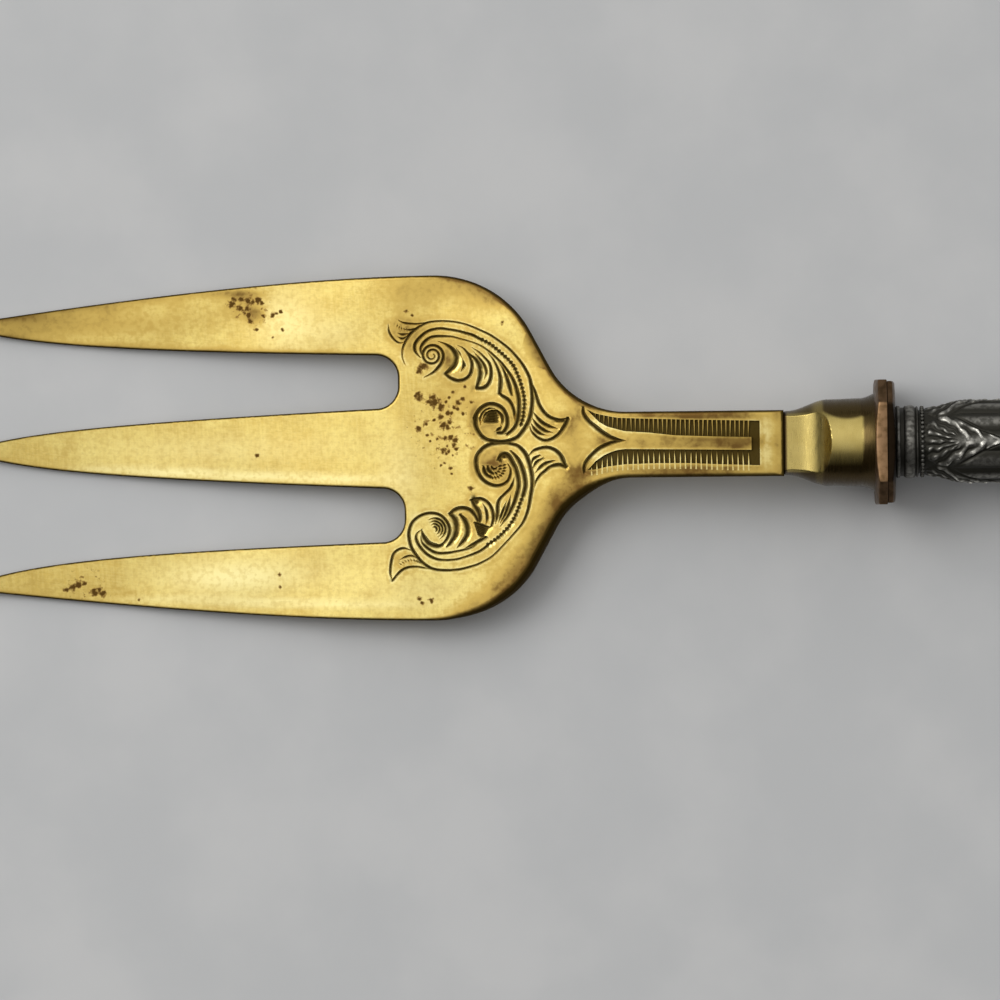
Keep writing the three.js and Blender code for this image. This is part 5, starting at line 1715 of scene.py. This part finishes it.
turn = full_turn(RIM_POINTS)
rim = rim_distance(turn)
soft = RIM_SOFTENING
front = COLLAR_FRONT + TURNED_FALL * turned_off(rim)
back_rim = rim - BACK_PLATE_STEP
back = COLLAR_BACK - BACK_FALL * turned_off(back_rim)
front_face = [
    (COLLAR_FRONT, COLLAR_HOLE), (COLLAR_FRONT, FACE_RING), (COLLAR_FRONT, TURNED_FROM),
    (front - 0.05, rim - soft), (front + 0.3 * soft, rim - 0.3 * soft)]
rim_flat = [
    (front + soft, rim), (BACK_PLATE - soft, rim),
    (BACK_PLATE - 0.3 * soft, rim - 0.3 * soft), (BACK_PLATE, rim - soft)]
back_plate = [
    (BACK_PLATE + 0.02, back_rim - 0.1), (BACK_PLATE + 0.1, back_rim),
    (back - 2 * soft, back_rim), (back - 0.6 * soft, back_rim - 0.6 * soft), (back, back_rim - 2 * soft),
    (COLLAR_BACK, TURNED_FROM), (COLLAR_BACK, FACE_RING), (COLLAR_BACK, COLLAR_HOLE)]
collar_points, collar_faces = turned_piece(front_face + rim_flat + back_plate, turn)
# Painted shade darkens the cut corners; the back plate is near black, a little less at its corners.
at_corner = eased(np.abs(collar_points[:, 1]), 6.3, 6.9)
brown = np.where(collar_points[:, 0] > BACK_PLATE - 0.01, 0.97 - 0.42 * at_corner, 0.5 * at_corner)
on_front = slice(0, len(front_face) * RIM_POINTS)
# Painted shade on the front face round the bolster.
brown[on_front] = np.maximum(brown[on_front], 0.6 * eased(from_axis(collar_points[on_front]), 11, 9))
collar = make_mesh("collar_plate", collar_points, collar_faces, crease=28, brown=brown)
dress(collar, red_brass, "collar_red_brass", "collar")

# %% [markdown]
# ## The ferrule
# The ferrule is a short turned ring: a fine reed, a groove, a broad rounded reed and another groove. It is
# a profile turned about the axis, with its ridges rubbed bright and its grooves black.

# %% Ferrule
FERRULE_START = 1.7
FERRULE_END = 5.6
FERRULE_BORE = 5.36
FERRULE_RADIUS = 6.11
GROOVE_DEPTH = 0.42
FINE_REED = (2.25, 0.38, 0.32)  # middle, half length and height
BROAD_REED = (4.15, 0.95, GROOVE_DEPTH)
END_REED = (5.4, 0.2, 0.22)
FERRULE_PLACES = 64
FERRULE_POINTS = 192


def reed(x, middle, half, height):
    """The round of one reed over the ferrule's grooves."""
    return height * np.sqrt(np.clip(1 - ((x - middle) / half) ** 2, 0, 1))


places = np.linspace(FERRULE_START, FERRULE_END, FERRULE_PLACES)
reeds = np.maximum.reduce([reed(places, *sizes) for sizes in (FINE_REED, BROAD_REED, END_REED)])
outside = zip(places, FERRULE_RADIUS - GROOVE_DEPTH + reeds)
profile = [(FERRULE_START, FERRULE_BORE), *outside, (FERRULE_END, FERRULE_BORE)]
ferrule_points, ferrule_faces = turned_piece(profile, full_turn(FERRULE_POINTS))
ridge = 0.36 * eased(from_axis(ferrule_points), 5.8, FERRULE_RADIUS)
ferrule = make_mesh("ferrule_reeds", ferrule_points, ferrule_faces, crease=40, ridge=ridge)
dress(ferrule, stamped_silver, "handle_silver", "handle_ferrule")

# %% [markdown]
# ### The beaded edge
# A row of small beads runs round the handle where the leaves begin. A circle of points, one bead on each: a
# short tree of Geometry Nodes with the count and the sizes as its inputs.

# %% Beads
BEAD_PLACE = 6.25
BEAD_SEGMENTS = 14
BEAD_RINGS = 10

tree, entry = new_geometry_tree("bead_ring", {
    "Beads": "NodeSocketInt", "Ring Radius": "NodeSocketFloat", "Bead Radius": "NodeSocketFloat",
    "Place": "NodeSocketVector"})
circle = add_node(tree, "GeometryNodeMeshCircle", {
    "Vertices": entry["Beads"], "Radius": entry["Ring Radius"]})
bead = add_node(tree, "GeometryNodeMeshUVSphere", {
    "Segments": BEAD_SEGMENTS, "Rings": BEAD_RINGS, "Radius": entry["Bead Radius"]})
beads = add_node(tree, "GeometryNodeInstanceOnPoints", {
    "Points": circle.outputs[0], "Instance": bead.outputs[0]})
upright = add_node(tree, "GeometryNodeTransform", {
    "Geometry": beads.outputs[0], "Translation": entry["Place"], "Rotation": (0, math.pi / 2, 0)})
close_geometry_tree(tree, upright.outputs[0], entry["Finish"])
bead_ring = in_scene("bead_ring", bpy.data.meshes.new("bead_ring"))
grow(bead_ring, tree, {"Beads": 44, "Ring Radius": 5.66 * MM, "Bead Radius": 0.34 * MM,
                       "Place": (BEAD_PLACE * MM, 0.0, AXIS_HEIGHT * MM), "Finish": stamped_silver})
bead_ring.data.shade_smooth()
carry(bead_ring.data, ridge=0.34 * eased(from_axis(points_of(bead_ring)), 5.7, 6.0))
dress(bead_ring, stamped_silver, "handle_silver")

# %% [markdown]
# ## The handle
# The silver was stamped in two thin halves, soldered along both sides and filled with pitch. Next to the
# ferrule, acanthus leaves clasp the handle; their lobes sweep towards the end in chevrons, and smooth
# gadroons start from under them. A leaf like it closes the far end, which the photograph doesn't show. The
# relief is one function of the place along the handle and the angle round it, so it is sampled on a fine
# grid.

# %% Handle form
HANDLE_END = 98.5
CAP_START = 89.3
LEAF_COUNT = 4
LEAF_SPREAD = 5.3  # distance round the handle from a leaf's midrib to where two leaves meet
FAN_END = 6.6
GADROONS = 12
LOBE_PITCH = 2.15
LOBE_SWEEP = 5.5
RELIEF_FLOOR = 0.3  # the lowest hollows lie this far under the plain handle
LEAF_SWELL = (7.6, 13.1)  # the handle widens under the leaves, narrows at its waist and swells to its end
WAIST = (16.9, 38.1)
END_SWELL = (30.6, CAP_START)
FRONT_LEAVES_END = 40
END_LEAVES_START = 60
HANDLE_MIDDLE = 50
SUNK_FROM_MIDDLE = 28  # the ground sinks round the leaves only farther from the middle than this


def end_round(x):
    """1 along the handle, falling to 0 over its rounded end."""
    return np.sqrt(1 - np.clip((x - CAP_START) / (HANDLE_END - CAP_START), 0, 1) ** 2)


def handle_radius(x):
    """Radius of the handle without its relief."""
    body = 5.71 + 1.05 * eased(x, *LEAF_SWELL) - 0.55 * eased(x, *WAIST) + 2.9 * eased(x, *END_SWELL)
    return body * end_round(x)


def leaf_relief(from_root, angle):
    """Height of the leaves, and how far each point lies across a leaf, as a share of its half width."""
    turns = angle * LEAF_COUNT / (2 * math.pi)
    off = np.abs(turns - np.round(turns)) * 2
    half = 0.7 + 0.3 * eased(from_root, 0.3, 3.0)
    half = half * (1 - np.clip((from_root - 4.2) / 9.8, 0, 1) ** 0.75) + 1e-3
    within = off / half
    uneven = 0.24 * np.sin(1.9 * from_root + 3 * angle) + 0.16 * np.sin(3.3 * from_root - 5 * angle + 1)
    swept = from_root + LOBE_SWEEP * off ** 1.05 + uneven
    phase = 2 * math.pi * (swept - FAN_END - 1.8) / LOBE_PITCH
    lobe = np.clip(0.5 + 0.5 * np.cos(phase) - 0.14 * np.cos(2 * phase + 0.6), 0, 1) ** 0.7
    lobe = lobe * (0.8 + 0.2 * np.sin(2.7 * from_root + 7 * angle))
    fan_turn = np.arctan2(LEAF_SPREAD * off, np.maximum(FAN_END + 0.3 - from_root, 0.05)) + 0.12 * uneven
    fan = (0.5 + 0.5 * np.cos(21 * fan_turn)) ** 0.7 * (0.75 + 0.25 * np.sin(4.1 * from_root + 9 * fan_turn))
    in_fan = eased(swept, FAN_END + 0.7, FAN_END - 0.2)
    surface = lobe * (1 - in_fan) + 0.7 * fan * in_fan
    return eased(within, 1.05, 0.88) * (0.12 + 0.5 * surface), within


def handle_relief(x, angle):
    """Height of the relief over the plain handle."""
    gadroon = 0.4 * np.abs(np.cos(GADROONS / 2 * angle)) ** 0.8
    gadroon = gadroon * eased(x, 9.5, 12.5) * eased(x, HANDLE_END - 4.5, HANDLE_END - 8)
    front, front_within = leaf_relief(x - FERRULE_END - 0.6, angle)
    back, back_within = leaf_relief(HANDLE_END - x, angle)
    front = front * eased(x, FERRULE_END + 0.9, FERRULE_END + 1.8) * (x < FRONT_LEAVES_END)
    back = back * eased(x, HANDLE_END, HANDLE_END - 3.5) * (x > END_LEAVES_START)
    within = front_within if x < HANDLE_MIDDLE else back_within
    sunk = np.exp(-((within - 1.12) / 0.1) ** 2) * (abs(x - HANDLE_MIDDLE) > SUNK_FROM_MIDDLE)
    return np.maximum.reduce([gadroon * (1 - 0.8 * sunk), front, back]) - RELIEF_FLOOR


for part, x in (("at the leaves", 13.1), ("near the end", 88.0)):
    print("handle radius", part, round(float(handle_radius(x)), 2), "mm")

# %% [markdown]
# ### The two shells
# Each shell is a half of the handle: the relief outside, a plain inside that lies on the pitch, and a seam
# along both sides where the halves were soldered. Towards the far end the rows draw together in a pole,
# which is merged to a point.

# %% Handle shells
SHELL_MOUTH = 2.0
SHELL_NECK = 5.26
SHELL_WALL = 0.6
AROUND = 200
INNER_AROUND = 24
END_FLATTENING = 0.86
INSIDE_END = 0.91  # how far the inside follows the outside into the far end
PITCH_WAIST = (16.85, 38.1)
CAP_ROWS = 40

cap = CAP_START + (HANDLE_END - CAP_START) * np.sin(np.linspace(0, math.pi / 2, CAP_ROWS))
along_handle = np.concatenate([np.arange(6.0, 22, 0.14), np.arange(22, 32, 0.3), np.arange(32, 72, 0.6),
                               np.arange(72, CAP_START - 0.1, 0.3), cap])


def pitch_radius(x):
    """Radius of the pitch that fills the handle, which the shells lie on."""
    return 4.86 + 1.35 * eased(x, *LEAF_SWELL) - 0.7 * eased(x, *PITCH_WAIST) + 2.9 * eased(x, *END_SWELL)


def flatten(x):
    """Thickness over width, less than one towards the end."""
    return 1 + (END_FLATTENING - 1) * eased(x, *END_SWELL)


def half_ring(x, distance, turn, up):
    """Half a ring about the fork's axis; up is 1 for the upper half, -1 for the lower, less if flattened."""
    height = AXIS_HEIGHT + up * distance * np.cos(turn)
    return np.column_stack([np.full(len(turn), x), distance * np.sin(turn), height])


def half_shell(name, side):
    """One stamped half: its relief outside, a plain inside and the seam between them."""
    outer_turn = np.linspace(-math.pi / 2, math.pi / 2, AROUND)
    inner_turn = np.linspace(-math.pi / 2, math.pi / 2, INNER_AROUND)
    relief_turn = outer_turn if side > 0 else outer_turn + math.pi
    outer, inner, ridge = [], [], []
    for x in (SHELL_MOUTH, FERRULE_END + 0.1):
        up = side * float(flatten(x))
        outer.append(half_ring(x, np.full(AROUND, SHELL_NECK), outer_turn, up))
        inner.append(half_ring(x, np.full(INNER_AROUND, SHELL_NECK - SHELL_WALL), inner_turn, up))
        ridge.append(np.zeros(AROUND))
    for x in along_handle:
        up = side * float(flatten(x))
        shrink = float(end_round(x))
        relief = handle_relief(x, relief_turn)
        inside_x = x if x < CAP_START else CAP_START + (x - CAP_START) * INSIDE_END
        outer.append(half_ring(x, handle_radius(x) + relief * shrink, outer_turn, up))
        inside_distance = np.full(INNER_AROUND, float(pitch_radius(x)) * shrink)
        inner.append(half_ring(inside_x, inside_distance, inner_turn, up))
        ridge.append(eased(relief + RELIEF_FLOOR, 0.22, 0.6) ** 1.3)
    rows = len(outer)
    points = np.vstack(outer + inner)
    faces = grid_faces(rows, AROUND)
    base = rows * AROUND
    faces += [face[::-1] for face in grid_faces(rows, INNER_AROUND, first=base)]
    for outer_edge, inner_edge, flip in ((0, 0, True), (AROUND - 1, INNER_AROUND - 1, False)):
        for i in range(rows - 1):
            a, b = i * AROUND + outer_edge, (i + 1) * AROUND + outer_edge
            c, d = base + (i + 1) * INNER_AROUND + inner_edge, base + i * INNER_AROUND + inner_edge
            faces.append((a, b, c, d) if flip else (d, c, b, a))
    mouth = [*range(AROUND)][::-1] + [base + j for j in range(INNER_AROUND)]
    faces.append(tuple(mouth))
    if side > 0:
        faces = [face[::-1] for face in faces]
    ridge = np.concatenate([*ridge, np.zeros(rows * INNER_AROUND)])
    return make_mesh(name, points, faces, crease=50, ridge=ridge)


front_shell = half_shell("front_shell_relief", 1)
back_shell = half_shell("back_shell_relief", -1)
close_poles(front_shell)
close_poles(back_shell)
dress(front_shell, stamped_silver, "handle_silver", "handle_front_shell")
dress(back_shell, stamped_silver, "handle_silver", "handle_back_shell")
